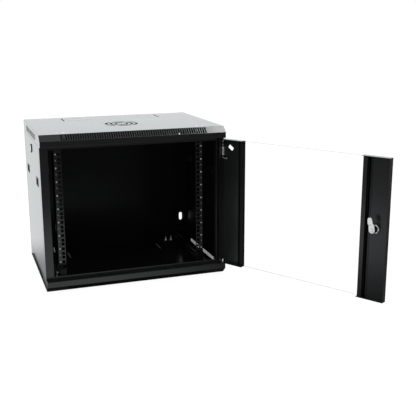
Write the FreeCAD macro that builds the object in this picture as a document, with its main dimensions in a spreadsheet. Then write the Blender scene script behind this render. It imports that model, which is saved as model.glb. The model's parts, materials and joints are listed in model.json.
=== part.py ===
"""Wall-mount network cabinet for nine units of 19-inch equipment.

Two identical pressed pans close the cabinet above and below. Channel posts join them at the four
corners, and removable side panels hang between the posts. A glass door with two steel strips turns
on a sprung pin and a fixed pin at the front right-hand corner.

Every piece is drawn with the door shut, from three planes: X from the centre line, Y backwards from
the front of the pans, Z up from the floor. The placement of each piece then carries it back by half
the depth, so that the origin is the middle of the base. Pieces of the door also turn about the door's
hinge line to the angle at which the door stands open.
"""
import FreeCAD, Part
import math
import os
import re
import Sketcher
from FreeCAD import Placement, Rotation, Vector

SIZES = [
    # Overall size
    ("width", 600.0, "overall width of the cabinet"),
    ("depth", 450.0, "overall depth, front of the pans to the wall"),
    ("height", 501.0, "overall height"),
    ("sheet", 1.2, "steel sheet of pans, posts and door"),
    ("bend", 0.4, "inner radius of a bend in sheet"),
    # Pans (top and bottom frame)
    ("nose_rise", 18.5, "height of the sloped nose"),
    ("nose_run", 21.0, "depth of the sloped nose"),
    ("pan_rise", 37.0, "height of the pan's walls"),
    ("front_ledge", 23.0, "depth of the ledge behind the front face"),
    ("side_ledge", 14.0, "width of the ledge inside each side wall"),
    ("rear_ledge", 14.0, "depth of the ledge inside the rear wall"),
    ("lip_rise", 9.5, "height of the lip round the pan's opening"),
    ("lip_end", 3.0, "end of the front lip from the cabinet's side"),
    # Vents
    ("nose_vent_margin", 67.5, "first nose slot from the cabinet's side"),
    ("nose_vent_slot", 3.4, "width of a nose slot"),
    ("nose_vent_count", 63, "slots in the nose"),
    ("nose_vent_run", 17.5, "depth of a nose slot, measured level"),
    ("side_vent_slot", 5.6, "width of a side slot"),
    ("side_vent_count", 26, "slots in each side wall"),
    ("side_vent_start", 115.0, "first side slot from the front"),
    ("side_vent_end", 85.0, "last side slot from the rear"),
    ("side_vent_low", 10.0, "lower end of a side slot"),
    ("side_vent_tall", 19.0, "height of a side slot"),
    # Cable entry
    ("entry_half", 171.0, "half the length of the cable entry, to its end slots"),
    ("entry_rear", 36.0, "rear edge of the cable entry from the rear"),
    ("entry_run", 68.0, "depth of the cable entry"),
    ("entry_end_slot", 5.0, "width of an end slot"),
    ("entry_cut", 1.4, "width of the cuts along the long edges"),
    ("entry_bridge", 8.0, "metal left between two cuts"),
    # Fan grille
    ("fan_ahead", 21.0, "fan centre ahead of the pan's middle"),
    ("fan_ring_first", 20.0, "radius of the innermost ring of slots"),
    ("fan_ring_step", 16.0, "step from ring to ring"),
    ("fan_ring_slot", 8.5, "width of a ring slot"),
    ("fan_bridge", 9.0, "angle of metal between two ring slots"),
    ("fan_arms", 6, "number of bridges in a ring"),
    ("fan_screw_half", 52.5, "half the spacing of the fan's screws"),
    ("fan_screw_hole", 4.4, "fan screw hole"),
    # Posts
    ("post_face", 26.0, "width of the front post's face"),
    ("post_wall", 27.0, "depth of the front post's outer wall"),
    ("post_return", 23.0, "depth of the front post's inner wall"),
    ("rear_face", 30.0, "width of the rear post's face"),
    ("rear_wall", 20.0, "depth of the rear post's outer wall"),
    ("rear_return", 12.0, "depth of the rear post's inner wall"),
    ("strike_low", 10.0, "strike slot below the lock's centre"),
    ("strike_high", 35.0, "strike slot above the lock's centre"),
    ("strike_gap", 1.0, "strike slot beyond the post's face"),
    ("strike_run", 9.5, "depth of the strike slot"),
    # Wall fixing slots
    ("wall_slot_inset", 17.0, "wall slot centre from the cabinet's side"),
    ("wall_slot_low", 94.0, "lower wall slot above the floor"),
    ("wall_slot_width", 12.0, "width of a wall slot"),
    ("wall_slot_length", 30.0, "length of a wall slot, end to end"),
    # 19-inch rails
    ("unit", 44.45, "one rack unit"),
    ("unit_count", 9, "rack units"),
    ("hole_column", 232.55, "centre line of the rail's hole column"),
    ("hole_side", 9.5, "square rail hole"),
    ("hole_offset", 15.875, "outer hole of a unit from the unit's middle"),
    ("rail_clear", 225.0, "inner edge of the rail, half of the clear opening"),
    ("rail_face", 25.5, "width of the rail's face"),
    ("rail_wall", 40.0, "depth of the rail's side wall"),
    ("rail_sheet", 2.0, "rail thickness"),
    ("rail_front", 87.0, "front of the rails from the front"),
    ("rail_end_gap", 6.0, "rail end to the inside of the pan"),
    # Depth brackets
    ("bracket_sheet", 1.5, "bracket thickness"),
    ("bracket_foot", 42.0, "width of the bracket's foot"),
    ("bracket_rise", 42.0, "height of the bracket's wall"),
    ("bracket_front", 44.0, "front end of the bracket"),
    ("bracket_rear_gap", 3.0, "rear end of the bracket to the rear wall"),
    ("bracket_notch", 1.5, "gap between the bracket and the rear ledge above its foot"),
    ("bracket_slot", 6.6, "height of the bracket's depth slots"),
    ("bracket_slot_margin", 18.0, "end of a depth slot to the bracket's end"),
    ("bracket_slot_low", 15.0, "lower depth slot above the pan"),
    ("bracket_slot_step", 15.0, "lower depth slot to the upper one"),
    ("bracket_screw_in", 24.0, "middle of a pair of foot screws from the bracket's wall"),
    ("bracket_screw_half", 10.0, "foot screws either side of that middle"),
    ("bracket_screw_front", 14.0, "front pair of foot screws from the bracket's front end"),
    ("bracket_screw_rear", 9.0, "rear pair of foot screws from the bracket's rear end"),
    # Rail fixings
    ("bolt_shank", 6.0, "rail bolt"),
    ("bolt_hole", 6.4, "hole for a rail bolt"),
    ("bolt_flats", 10.0, "rail bolt and nut across flats"),
    ("bolt_head", 4.0, "height of the rail bolt's head"),
    ("bolt_flange", 13.0, "flange of the rail bolt and nut"),
    ("bolt_flange_rise", 1.2, "height of that flange"),
    ("bolt_set", 20.0, "rail bolt behind the rail's face"),
    ("foot_screw", 5.0, "foot screw"),
    ("foot_screw_head", 9.2, "countersunk head of the foot screw"),
    ("foot_screw_gap", 0.1, "gap round that head"),
    ("foot_screw_hole", 7.2, "foot screw hole in the bracket"),
    ("foot_screw_length", 18.0, "length of the foot screw"),
    ("foot_nut_flats", 8.0, "foot nut across flats"),
    ("foot_nut", 4.0, "foot nut thickness"),
    # Side panels
    ("panel_sheet", 1.0, "side panel thickness"),
    ("panel_gap", 1.0, "gap between a side panel and the posts"),
    ("panel_seat", 0.3, "gap under a side panel"),
    ("panel_pan", 12.0, "depth of the side panel's flanges"),
    ("side_lock_drop", 35.0, "side lock below the pan"),
    ("latch_inset", 64.0, "latch's middle from the panel's end"),
    ("latch_drop", 124.0, "latches below the pan"),
    ("latch_rim", 2.5, "rim of a latch's plate round its box"),
    ("latch_plate", 1.2, "thickness of a latch's plate"),
    ("latch_box_y", 37.0, "length of a latch's box"),
    ("latch_box_z", 22.0, "height of a latch's box"),
    ("latch_box_deep", 12.0, "depth of a latch's box"),
    ("latch_skin", 1.5, "wall of a latch's box"),
    ("latch_run", 0.3, "running gap of a latch slide"),
    ("latch_travel", 11.0, "travel of a latch slide"),
    ("latch_tongue_z", 9.0, "height of a latch tongue"),
    ("latch_tongue_x", 3.0, "thickness of a latch tongue"),
    ("latch_well_wall", 1.8, "wall of the slide's thumb well"),
    ("latch_well_floor", 2.4, "floor of the slide's thumb well"),
    ("latch_grip_y", 3.0, "length of the thumb rib in the well"),
    ("latch_grip_drop", 1.5, "thumb rib below the slide's face"),
    # Locks
    ("lock_thread", 19.0, "lock barrel"),
    ("lock_hole_gap", 0.2, "gap round a lock barrel"),
    ("lock_head", 23.0, "head of the door's lock"),
    ("side_lock_head", 29.0, "head of a side panel's lock"),
    ("lock_head_rise", 2.5, "height of a lock head"),
    ("lock_length", 20.0, "door lock's barrel behind the strip's outer face"),
    ("side_lock_length", 15.0, "side lock's barrel behind the panel's outer face"),
    ("lock_core", 12.0, "core of the lock"),
    ("lock_core_gap", 0.1, "running gap of the core"),
    ("lock_key_width", 1.6, "key slot"),
    ("lock_key_tall", 7.0, "height of the key slot"),
    ("lock_key_deep", 8.0, "depth of the key slot"),
    ("lock_nut_flats", 24.0, "lock nut across flats"),
    ("lock_nut", 5.0, "lock nut thickness"),
    ("cam_square", 7.0, "square end of the core"),
    ("cam_plate", 2.5, "cam thickness"),
    ("cam_width", 13.0, "cam width"),
    ("cam_hub", 18.0, "cam hub"),
    ("cam_reach", 38.0, "door cam from centre to tip"),
    ("cam_crank", 6.0, "step of the door cam's crank"),
    ("cam_crank_start", 14.0, "start of the crank from the centre"),
    ("cam_crank_run", 6.0, "length of the crank"),
    ("cam_lean", 8.0, "door cam's lean from upright when unlocked"),
    ("cam_gap", 0.3, "gap between barrel and cam"),
    ("side_cam_reach", 32.0, "side cam from centre to tip"),
    ("cam_screw_head", 9.0, "cam screw across flats"),
    ("cam_screw_rise", 3.5, "height of the cam screw's head"),
    ("cam_washer", 13.0, "washer under the cam screw"),
    ("cam_washer_rise", 1.0, "thickness of that washer"),
    # Door
    ("door_open", 120.7, "angle at which the door stands open"),
    ("door_side_gap", 0.8, "door edge to the cabinet's side"),
    ("door_end_gap", 2.5, "door end to the pan"),
    ("door_pan", 19.5, "depth of the door strips"),
    ("lock_strip", 86.5, "width of the lock strip"),
    ("hinge_strip", 91.5, "width of the hinge strip"),
    ("hinge_x", 6.9, "hinge line from the cabinet's side"),
    ("hinge_y", 7.5, "hinge line from the front"),
    ("glass", 5.0, "glass thickness"),
    ("glass_lap", 12.0, "lap of the strip over the glass"),
    ("glass_inset", 1.6, "glass end inside the strip's end"),
    ("gasket", 0.8, "gasket between glass and steel"),
    ("retainer_foot", 13.0, "width of the glass retainer's foot"),
    ("seal_width", 7.0, "width of the rubber strip beside the retainer"),
    ("seal_rise", 5.0, "height of that rubber strip"),
    ("peephole", 12.0, "width of the slanted hole in the hinge strip"),
    ("peephole_long", 19.5, "length of the slanted hole"),
    ("peephole_slant", 35.0, "fall of the slanted hole towards the glass, in degrees"),
    ("peephole_inset", 34.0, "middle of the slanted hole from the hinge edge"),
    ("peephole_drop", 28.5, "middle of the slanted hole from the strip's top"),
    # Door pins
    ("pin", 5.0, "hinge pin"),
    ("pin_hole", 5.6, "hole for a hinge pin"),
    ("pin_reach", 5.0, "hinge pin beyond the ledge's outer face"),
    ("pin_drop", 67.0, "handle of the sprung pin below the ledge"),
    ("pin_handle", 17.0, "length of the sprung pin's handle"),
    ("pin_elbow", 6.0, "bend radius of that handle"),
    ("pin_collar", 9.0, "collar on the sprung pin"),
    ("pin_collar_rise", 1.6, "thickness of that collar"),
    ("pin_collar_drop", 33.0, "collar of the sprung pin below the ledge"),
    ("ear_low_drop", 60.0, "lower ear of the pin bracket below the ledge"),
    ("ear_high_drop", 18.0, "upper ear of the pin bracket below the ledge"),
    ("ear_sheet", 1.5, "thickness of the pin bracket"),
    ("ear_deep", 13.5, "depth of the ears"),
    ("ear_width", 12.0, "width of the pin bracket"),
    ("spring_outer", 8.4, "outside of the pin's spring"),
    ("spring_wire", 0.9, "spring wire"),
    ("spring_turns", 7, "turns of the spring"),
    ("spring_gap", 0.15, "gap at each end of the spring"),
    ("low_pin_head", 9.0, "head of the fixed pin"),
    ("low_pin_head_rise", 2.0, "height of that head"),
    ("low_pin_top", 13.0, "fixed pin above the ledge"),
    ("washer", 11.0, "washer under the door"),
    ("washer_gap", 0.2, "gap above that washer"),
]

doc = FreeCAD.newDocument("NetworkCabinet")
sheet = doc.addObject("Spreadsheet::Sheet", "Sizes")
for row, (alias, value, note) in enumerate(SIZES, 1):
    sheet.set("A%d" % row, alias)
    sheet.set("B%d" % row, repr(value))
    sheet.set("C%d" % row, note)
    sheet.setAlias("B%d" % row, alias)
doc.recompute()

ALIAS = re.compile(r"\b(%s)\b" % "|".join(name for name, value, note in SIZES))
LOCK_Z = "height/2"
LOCK_X = "-(width/2 - door_side_gap - lock_strip/2)"
HINGE_X = "width/2 - hinge_x"
POST_Y = "front_ledge"
REAR_Y = "depth - sheet"
DOOR_EDGE = "width/2 - door_side_gap"
DOOR_LOW = "pan_rise + door_end_gap"
DOOR_HIGH = "height - pan_rise - door_end_gap"
RETAINER_RISE = "sheet + 2*gasket + glass"
WEB_OUTER = " + glass_lap + sheet"
PANEL_FRONT = "front_ledge + post_wall + panel_gap"
PANEL_REAR = "depth - rear_wall - panel_gap"
PANEL_LOW = "pan_rise + panel_seat"
PANEL_HIGH = "height - pan_rise - panel_gap"
PANEL_MID = "(%s + %s)/2" % (PANEL_FRONT, PANEL_REAR)
LATCH_Z = "height - pan_rise - latch_drop"
SIDE_LOCK_Z = "height - pan_rise - side_lock_drop"
BRACKET_OUT = "rail_clear + rail_face + bracket_sheet"
BRACKET_END = "depth - sheet - bracket_rear_gap"
SCREWS_MID = "rail_clear + rail_face + bracket_sheet - bracket_screw_in"

TOP_LEDGE = "height - pan_rise"
SCREW_ROWS = ("bracket_front + bracket_screw_front", BRACKET_END + " - bracket_screw_rear")
FOOT_SCREWS = [(side, end, place) for side in ("", "-") for end in ("-", "+")
               for place in SCREW_ROWS]
FAN_Y = "depth/2 - fan_ahead"

sub_parts = []


def bound(expression):
    """Return the expression with each size name tied to the sheet."""
    return ALIAS.sub(r"Sizes.\1", expression)


def value_of(expression):
    """Return the number an expression gives now."""
    return float(sheet.evalExpression(expression))


def keep(piece, label):
    """Name a finished sub-part and list it for export."""
    piece.Label = label
    sub_parts.append(piece)
    return piece


def in_cabinet(piece):
    """Carry a piece back so that the origin is the middle of the base."""
    piece.setExpression("Placement.Base.y", bound("-depth/2"))
    return piece


def on_door(piece):
    """Turn a piece about the hinge line to the door's open angle, then carry it back."""
    turned_x = "(%s)*cos(door_open*1deg) - hinge_y*sin(door_open*1deg)" % HINGE_X
    turned_y = "(%s)*sin(door_open*1deg) + hinge_y*cos(door_open*1deg)" % HINGE_X
    piece.setExpression("Placement.Base.x", bound("%s - (%s)" % (HINGE_X, turned_x)))
    piece.setExpression("Placement.Base.y", bound("hinge_y - (%s) - depth/2" % turned_y))
    piece.setExpression("Placement.Rotation.Angle", bound("door_open*1deg"))
    return piece


# ---------------------------------------------------------------- sketches and features

def plane_of(body, role):
    """Return one of the body's own origin planes or axes."""
    return next(item for item in body.Origin.OriginFeatures if item.Role == role)


def new_body(name):
    return doc.addObject("PartDesign::Body", name)


def new_sketch(body, name, role, offset="0"):
    """Start a sketch on an origin plane, moved along the plane's normal."""
    sketch = body.newObject("Sketcher::SketchObject", name)
    sketch.AttachmentSupport = [(plane_of(body, role), "")]
    sketch.MapMode = "FlatFace"
    sketch.setExpression("AttachmentOffset.Base.z", bound(offset))
    return sketch


def fix_point(sketch, edge, end, across, up):
    """Hold one point of the sketch at two expressions."""
    for kind, expression in (("DistanceX", across), ("DistanceY", up)):
        index = sketch.addConstraint(
            Sketcher.Constraint(kind, -1, 1, edge, end, value_of(expression)))
        sketch.setExpression("Constraints[%d]" % index, bound(expression))


def draw_polygon(sketch, corners):
    """Draw a closed outline through corners given as pairs of expressions."""
    points = [Vector(value_of(across), value_of(up), 0) for across, up in corners]
    first = sketch.GeometryCount
    count = len(points)
    for index in range(count):
        sketch.addGeometry(Part.LineSegment(points[index], points[(index + 1) % count]), False)
    for index in range(count):
        sketch.addConstraint(
            Sketcher.Constraint("Coincident", first + index, 2, first + (index + 1) % count, 1))
        fix_point(sketch, first + index, 1, *corners[index])


def draw_rectangle(sketch, left, low, right, high):
    draw_polygon(sketch, [(left, low), (right, low), (right, high), (left, high)])


def draw_circle(sketch, across, up, diameter):
    centre = Vector(value_of(across), value_of(up), 0)
    index = sketch.addGeometry(
        Part.Circle(centre, Vector(0, 0, 1), value_of(diameter) / 2), False)
    fix_point(sketch, index, 3, across, up)
    size = sketch.addConstraint(Sketcher.Constraint("Diameter", index, value_of(diameter)))
    sketch.setExpression("Constraints[%d]" % size, bound(diameter))


def draw_upright_slot(sketch, across, up, slot_width, slot_length):
    """Draw a round-ended slot standing upright about its centre."""
    radius = value_of(slot_width) / 2
    half = value_of(slot_length) / 2 - radius
    middle = Vector(value_of(across), value_of(up), 0)
    first = sketch.GeometryCount
    rise = Vector(0, half, 0)
    side = Vector(radius, 0, 0)
    up_axis = Vector(0, 0, 1)
    sketch.addGeometry(Part.ArcOfCircle(
        Part.Circle(middle + rise, up_axis, radius), 0, math.pi), False)
    sketch.addGeometry(Part.LineSegment(middle + rise - side, middle - rise - side), False)
    sketch.addGeometry(Part.ArcOfCircle(
        Part.Circle(middle - rise, up_axis, radius), math.pi, 2 * math.pi), False)
    sketch.addGeometry(Part.LineSegment(middle - rise + side, middle + rise + side), False)
    for index in range(4):
        here = first + index
        after = first + (index + 1) % 4
        sketch.addConstraint(Sketcher.Constraint("Tangent", here, 2, after, 1))
    sketch.addConstraint(Sketcher.Constraint("Vertical", first + 1))
    reach = "((%s) - (%s))/2" % (slot_length, slot_width)
    fix_point(sketch, first, 3, across, "(%s) + %s" % (up, reach))
    low = sketch.addConstraint(Sketcher.Constraint(
        "DistanceY", -1, 1, first + 2, 3, middle.y - half))
    sketch.setExpression("Constraints[%d]" % low, bound("(%s) - %s" % (up, reach)))
    size = sketch.addConstraint(Sketcher.Constraint("Radius", first, radius))
    sketch.setExpression("Constraints[%d]" % size, bound("(%s)/2" % slot_width))


def pad(body, sketch, length, symmetric=False, reverse=False):
    feature = body.newObject("PartDesign::Pad", sketch.Name + "Pad")
    feature.Profile = sketch
    feature.SideType = "Symmetric" if symmetric else "One side"
    feature.Reversed = reverse
    feature.setExpression("Length", bound(length))
    body.Tip = feature
    return feature


def pocket(body, sketch, length, symmetric=False, reverse=False):
    feature = body.newObject("PartDesign::Pocket", sketch.Name + "Pocket")
    feature.Profile = sketch
    feature.SideType = "Symmetric" if symmetric else "One side"
    feature.Reversed = reverse
    feature.setExpression("Length", bound(length))
    body.Tip = feature
    return feature


def row_of(body, feature, axis, extent, count):
    """Repeat a feature along one of the body's axes, from the first to the last."""
    pattern = body.newObject("PartDesign::LinearPattern", feature.Name + "Row")
    pattern.Originals = [feature]
    pattern.Direction = (plane_of(body, axis), [""])
    pattern.Mode = "Extent"
    pattern.setExpression("Length", bound(extent))
    pattern.setExpression("Occurrences", bound(count))
    body.Tip = pattern
    return pattern


def ring_of(body, feature, sketch, count):
    """Repeat a feature round the sketch's own normal."""
    pattern = body.newObject("PartDesign::PolarPattern", feature.Name + "Ring")
    pattern.Originals = [feature]
    pattern.Axis = (sketch, ["N_Axis"])
    pattern.Angle = 360
    pattern.setExpression("Occurrences", bound(count))
    body.Tip = pattern
    return pattern


def round_edges(body, radius, chooser):
    """Fillet the straight edges of the body that the chooser picks."""
    doc.recompute()
    base = body.Tip
    names = []
    for index, edge in enumerate(base.Shape.Edges, 1):
        ends = [vertex.Point for vertex in edge.Vertexes]
        if len(ends) == 2 and chooser(ends[0], ends[1]):
            names.append("Edge%d" % index)
    fillet = body.newObject("PartDesign::Fillet", base.Name + "Bends")
    fillet.Base = (base, names)
    fillet.setExpression("Radius", bound(radius))
    body.Tip = fillet
    return fillet


def fold_at(body, axis, thickness, outside, inside):
    """Round a fold along an axis: its outside and inside corners, given across the axis."""
    others = [name for name in "xyz" if name != axis]
    for radius, corners in (("%s + bend" % thickness, outside), ("bend", inside)):
        spots = [tuple(value_of(number) for number in corner) for corner in corners]

        def on_corner(start, end):
            return any(
                all(abs(getattr(point, name) - number) < 0.01
                    for point in (start, end) for name, number in zip(others, spot))
                for spot in spots)
        round_edges(body, radius, on_corner)


# ---------------------------------------------------------------- top and bottom frame

def make_frame(name, hinge_side, with_fan):
    """Press one pan: floor, sloped nose, side and rear walls, ledges, lip, vents and entries.

    The hinge side is "" or "-", the sign of X at the door's pin in the pan's own drawing.
    """
    body = new_body(name)
    outline = new_sketch(body, name + "Outline", "YZ_Plane")
    draw_polygon(outline, [
        ("nose_run", "0"), ("depth", "0"), ("depth", "pan_rise"),
        ("0", "pan_rise"), ("0", "nose_rise")])
    pad(body, outline, "width", symmetric=True)

    half_width = value_of("width") / 2
    nose_end = value_of("nose_run")

    def is_bend(start, end):
        along_x = abs(start.y - end.y) < 0.01 and abs(start.z - end.z) < 0.01
        if along_x:
            return start.y < nose_end + 0.01
        on_side = abs(abs(start.x) - half_width) < 0.01
        return on_side and start.z < 0.01 and end.z < 0.01
    round_edges(body, "sheet + bend", is_bend)

    cavity = new_sketch(body, name + "Cavity", "YZ_Plane")
    slope = "sheet*(sqrt(nose_rise*nose_rise + nose_run*nose_run) - nose_rise)/nose_run"
    rise = "sheet*(sqrt(nose_rise*nose_rise + nose_run*nose_run) - nose_run)/nose_rise"
    draw_polygon(cavity, [
        ("nose_run + " + rise, "sheet"),
        (REAR_Y, "sheet"), (REAR_Y, "pan_rise - sheet"),
        ("sheet", "pan_rise - sheet"), ("sheet", "nose_rise + " + slope)])
    pocket(body, cavity, "width - 2*sheet", symmetric=True)

    opening = new_sketch(body, name + "Opening", "XY_Plane", "pan_rise")
    draw_rectangle(opening, "-(width/2 - side_ledge)", "front_ledge",
                   "width/2 - side_ledge", "depth - rear_ledge")
    pocket(body, opening, "2*sheet")

    lips = new_sketch(body, name + "Lips", "XY_Plane", "pan_rise - sheet")
    draw_rectangle(lips, "-width/2 + lip_end", "front_ledge - sheet",
                   "width/2 - lip_end", "front_ledge")
    rear_inner = "width/2 - rear_face - panel_gap"
    draw_rectangle(lips, "-(%s)" % rear_inner, "depth - rear_ledge",
                   rear_inner, "depth - rear_ledge + sheet")
    for inner, outer in (("width/2 - side_ledge", "width/2 - side_ledge + sheet"),
                         ("-(width/2 - side_ledge + sheet)", "-(width/2 - side_ledge)")):
        draw_rectangle(lips, inner, PANEL_FRONT, outer, PANEL_REAR)
    pad(body, lips, "sheet + lip_rise")

    nose_vents = new_sketch(body, name + "NoseVents", "XY_Plane")
    first = "-width/2 + nose_vent_margin"
    draw_rectangle(nose_vents, first + " - nose_vent_slot/2", "(nose_run - nose_vent_run)/2",
                   first + " + nose_vent_slot/2", "(nose_run + nose_vent_run)/2")
    slot = pocket(body, nose_vents, "nose_rise + sheet", reverse=True)
    row_of(body, slot, "X_Axis", "width - 2*nose_vent_margin", "nose_vent_count")

    side_vents = new_sketch(body, name + "SideVents", "YZ_Plane")
    draw_rectangle(side_vents, "side_vent_start - side_vent_slot/2", "side_vent_low",
                   "side_vent_start + side_vent_slot/2", "side_vent_low + side_vent_tall")
    slot = pocket(body, side_vents, "2*width", symmetric=True)
    row_of(body, slot, "Y_Axis", "depth - side_vent_start - side_vent_end", "side_vent_count")

    sinks = new_sketch(body, name + "Sinks", "XY_Plane")
    for side, end, place in FOOT_SCREWS:
        draw_circle(sinks, "%s(%s %s bracket_screw_half)" % (side, SCREWS_MID, end), place,
                    "foot_screw_head + 2*foot_screw_gap")
    sunk = pocket(body, sinks, "sheet", reverse=True)
    sunk.TaperAngle = -45

    holes = new_sketch(body, name + "Holes", "XY_Plane")
    draw_entry(holes)
    if with_fan:
        for side in ("-", ""):
            for end in ("-", "+"):
                draw_circle(holes, side + "fan_screw_half",
                            "%s %s fan_screw_half" % (FAN_Y, end), "fan_screw_hole")
    pocket(body, holes, "sheet", reverse=True)

    pin_holes = new_sketch(body, name + "PinHole", "XY_Plane", "pan_rise")
    draw_circle(pin_holes, hinge_side + "(%s)" % HINGE_X, "hinge_y", "pin_hole")
    pocket(body, pin_holes, "sheet")
    if with_fan:
        cut_fan_grille(body, name)
    return in_cabinet(body)


def draw_entry(sketch):
    """Draw the cuts round the cable entry: two end slots and bridged cuts between them."""
    rear = "depth - entry_rear"
    front = rear + " - entry_run"
    for side in ("-", ""):
        edge = "%sentry_half" % side
        draw_rectangle(sketch, edge + " - entry_end_slot/2", front,
                       edge + " + entry_end_slot/2", rear)
    third = "(2*entry_half - entry_end_slot - 4*entry_bridge)/3"
    for line in (front, rear + " - entry_cut"):
        for step in range(3):
            start = "-entry_half + entry_end_slot/2 + entry_bridge + %d*(%s + entry_bridge)" % (
                step, third)
            draw_rectangle(sketch, start, line, "%s + %s" % (start, third), line + " + entry_cut")


def cut_fan_grille(body, name):
    """Cut three rings of curved slots, each divided by bridges."""
    for ring in range(3):
        grille = new_sketch(body, "%sFan%d" % (name, ring), "XY_Plane")
        grille.setExpression("AttachmentOffset.Base.y", bound(FAN_Y))
        radius = "(fan_ring_first + %d*fan_ring_step)" % ring
        draw_ring_slot(grille, radius)
        ring_of(body, pocket(body, grille, "sheet", reverse=True), grille, "fan_arms")


def draw_ring_slot(sketch, radius):
    """Draw one curved slot about the sketch's origin, half a bridge clear at each end."""
    inner = value_of(radius + " - fan_ring_slot/2")
    outer = value_of(radius + " + fan_ring_slot/2")
    start = math.radians(value_of("fan_bridge") / 2)
    end = math.radians(360.0 / value_of("fan_arms") - value_of("fan_bridge") / 2)
    centre = Vector(0, 0, 0)
    up_axis = Vector(0, 0, 1)

    def at(length, angle):
        return Vector(length * math.cos(angle), length * math.sin(angle), 0)
    sketch.addGeometry(Part.ArcOfCircle(Part.Circle(centre, up_axis, outer), start, end), False)
    sketch.addGeometry(Part.LineSegment(at(outer, end), at(inner, end)), False)
    sketch.addGeometry(Part.ArcOfCircle(Part.Circle(centre, up_axis, inner), start, end), False)
    sketch.addGeometry(Part.LineSegment(at(inner, start), at(outer, start)), False)
    sketch.addConstraint(Sketcher.Constraint("Coincident", 0, 2, 1, 1))
    sketch.addConstraint(Sketcher.Constraint("Coincident", 1, 2, 2, 2))
    sketch.addConstraint(Sketcher.Constraint("Coincident", 2, 1, 3, 1))
    sketch.addConstraint(Sketcher.Constraint("Coincident", 3, 2, 0, 1))
    sketch.addConstraint(Sketcher.Constraint("Coincident", 0, 3, -1, 1))
    sketch.addConstraint(Sketcher.Constraint("Coincident", 2, 3, -1, 1))
    for edge, size in ((0, radius + " + fan_ring_slot/2"), (2, radius + " - fan_ring_slot/2")):
        index = sketch.addConstraint(Sketcher.Constraint("Radius", edge, value_of(size)))
        sketch.setExpression("Constraints[%d]" % index, bound(size))
    near = "(fan_bridge*0.5deg)"
    far = "(360deg/fan_arms - fan_bridge*0.5deg)"
    for edge, end_point, size, angle in (
            (3, 1, "-", near), (3, 2, "+", near), (1, 1, "+", far), (1, 2, "-", far)):
        up = "(%s %s fan_ring_slot/2)*sin%s" % (radius, size, angle)
        index = sketch.addConstraint(
            Sketcher.Constraint("DistanceY", -1, 1, edge, end_point, value_of(up)))
        sketch.setExpression("Constraints[%d]" % index, bound(up))


# ---------------------------------------------------------------- posts, rear panel, rails

def make_front_post(name, side, with_strike):
    """Fold a front post: outer wall, face behind the door, and inner wall."""
    body = new_body(name)
    outline = new_sketch(body, name + "Outline", "XY_Plane", "pan_rise")
    outer, inner = side + "width/2", side + "(width/2 - post_face)"
    outer_in, inner_in = side + "(width/2 - sheet)", side + "(width/2 - post_face + sheet)"
    draw_polygon(outline, [
        (outer, POST_Y), (outer, POST_Y + " + post_wall"), (outer_in, POST_Y + " + post_wall"),
        (outer_in, POST_Y + " + sheet"), (inner_in, POST_Y + " + sheet"),
        (inner_in, POST_Y + " + post_return"), (inner, POST_Y + " + post_return"),
        (inner, POST_Y)])
    pad(body, outline, "height - 2*pan_rise")
    back_of_face = POST_Y + " + sheet"
    fold_at(body, "z", "sheet", [(outer, POST_Y), (inner, POST_Y)],
            [(outer_in, back_of_face), (inner_in, back_of_face)])
    if with_strike:
        strike = new_sketch(body, name + "Strike", "YZ_Plane", side + "(width/2 - post_face/2)")
        front = POST_Y + " + sheet + strike_gap"
        draw_rectangle(strike, front, LOCK_Z + " - strike_low",
                       front + " + strike_run", LOCK_Z + " + strike_high")
        pocket(body, strike, "post_face/2", reverse=(side == "-"))
    return in_cabinet(body)


def make_rear_post(name, side):
    """Fold a rear post: outer wall, face against the wall with two slots, inner wall."""
    body = new_body(name)
    outline = new_sketch(body, name + "Outline", "XY_Plane", "pan_rise")
    outer, inner = side + "width/2", side + "(width/2 - rear_face)"
    outer_in, inner_in = side + "(width/2 - sheet)", side + "(width/2 - rear_face + sheet)"
    draw_polygon(outline, [
        (outer, "depth"), (outer, "depth - rear_wall"), (outer_in, "depth - rear_wall"),
        (outer_in, REAR_Y), (inner_in, REAR_Y), (inner_in, "depth - rear_return"),
        (inner, "depth - rear_return"), (inner, "depth")])
    pad(body, outline, "height - 2*pan_rise")
    fold_at(body, "z", "sheet", [(outer, "depth"), (inner, "depth")],
            [(outer_in, REAR_Y), (inner_in, REAR_Y)])
    slots = new_sketch(body, name + "Slots", "XZ_Plane", "-depth")
    for place in ("wall_slot_low", "height - wall_slot_low"):
        draw_upright_slot(slots, side + "(width/2 - wall_slot_inset)", place,
                          "wall_slot_width", "wall_slot_length")
    pocket(body, slots, "2*sheet", reverse=True)
    return in_cabinet(body)


def make_rear_panel():
    """Cut the flat sheet that closes the back between the rear posts."""
    body = new_body("RearPanel")
    outline = new_sketch(body, "RearPanelOutline", "XZ_Plane", "-depth")
    draw_rectangle(outline, "-(width/2 - rear_face)", "pan_rise",
                   "width/2 - rear_face", "height - pan_rise")
    pad(body, outline, "sheet")
    return in_cabinet(body)


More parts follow.
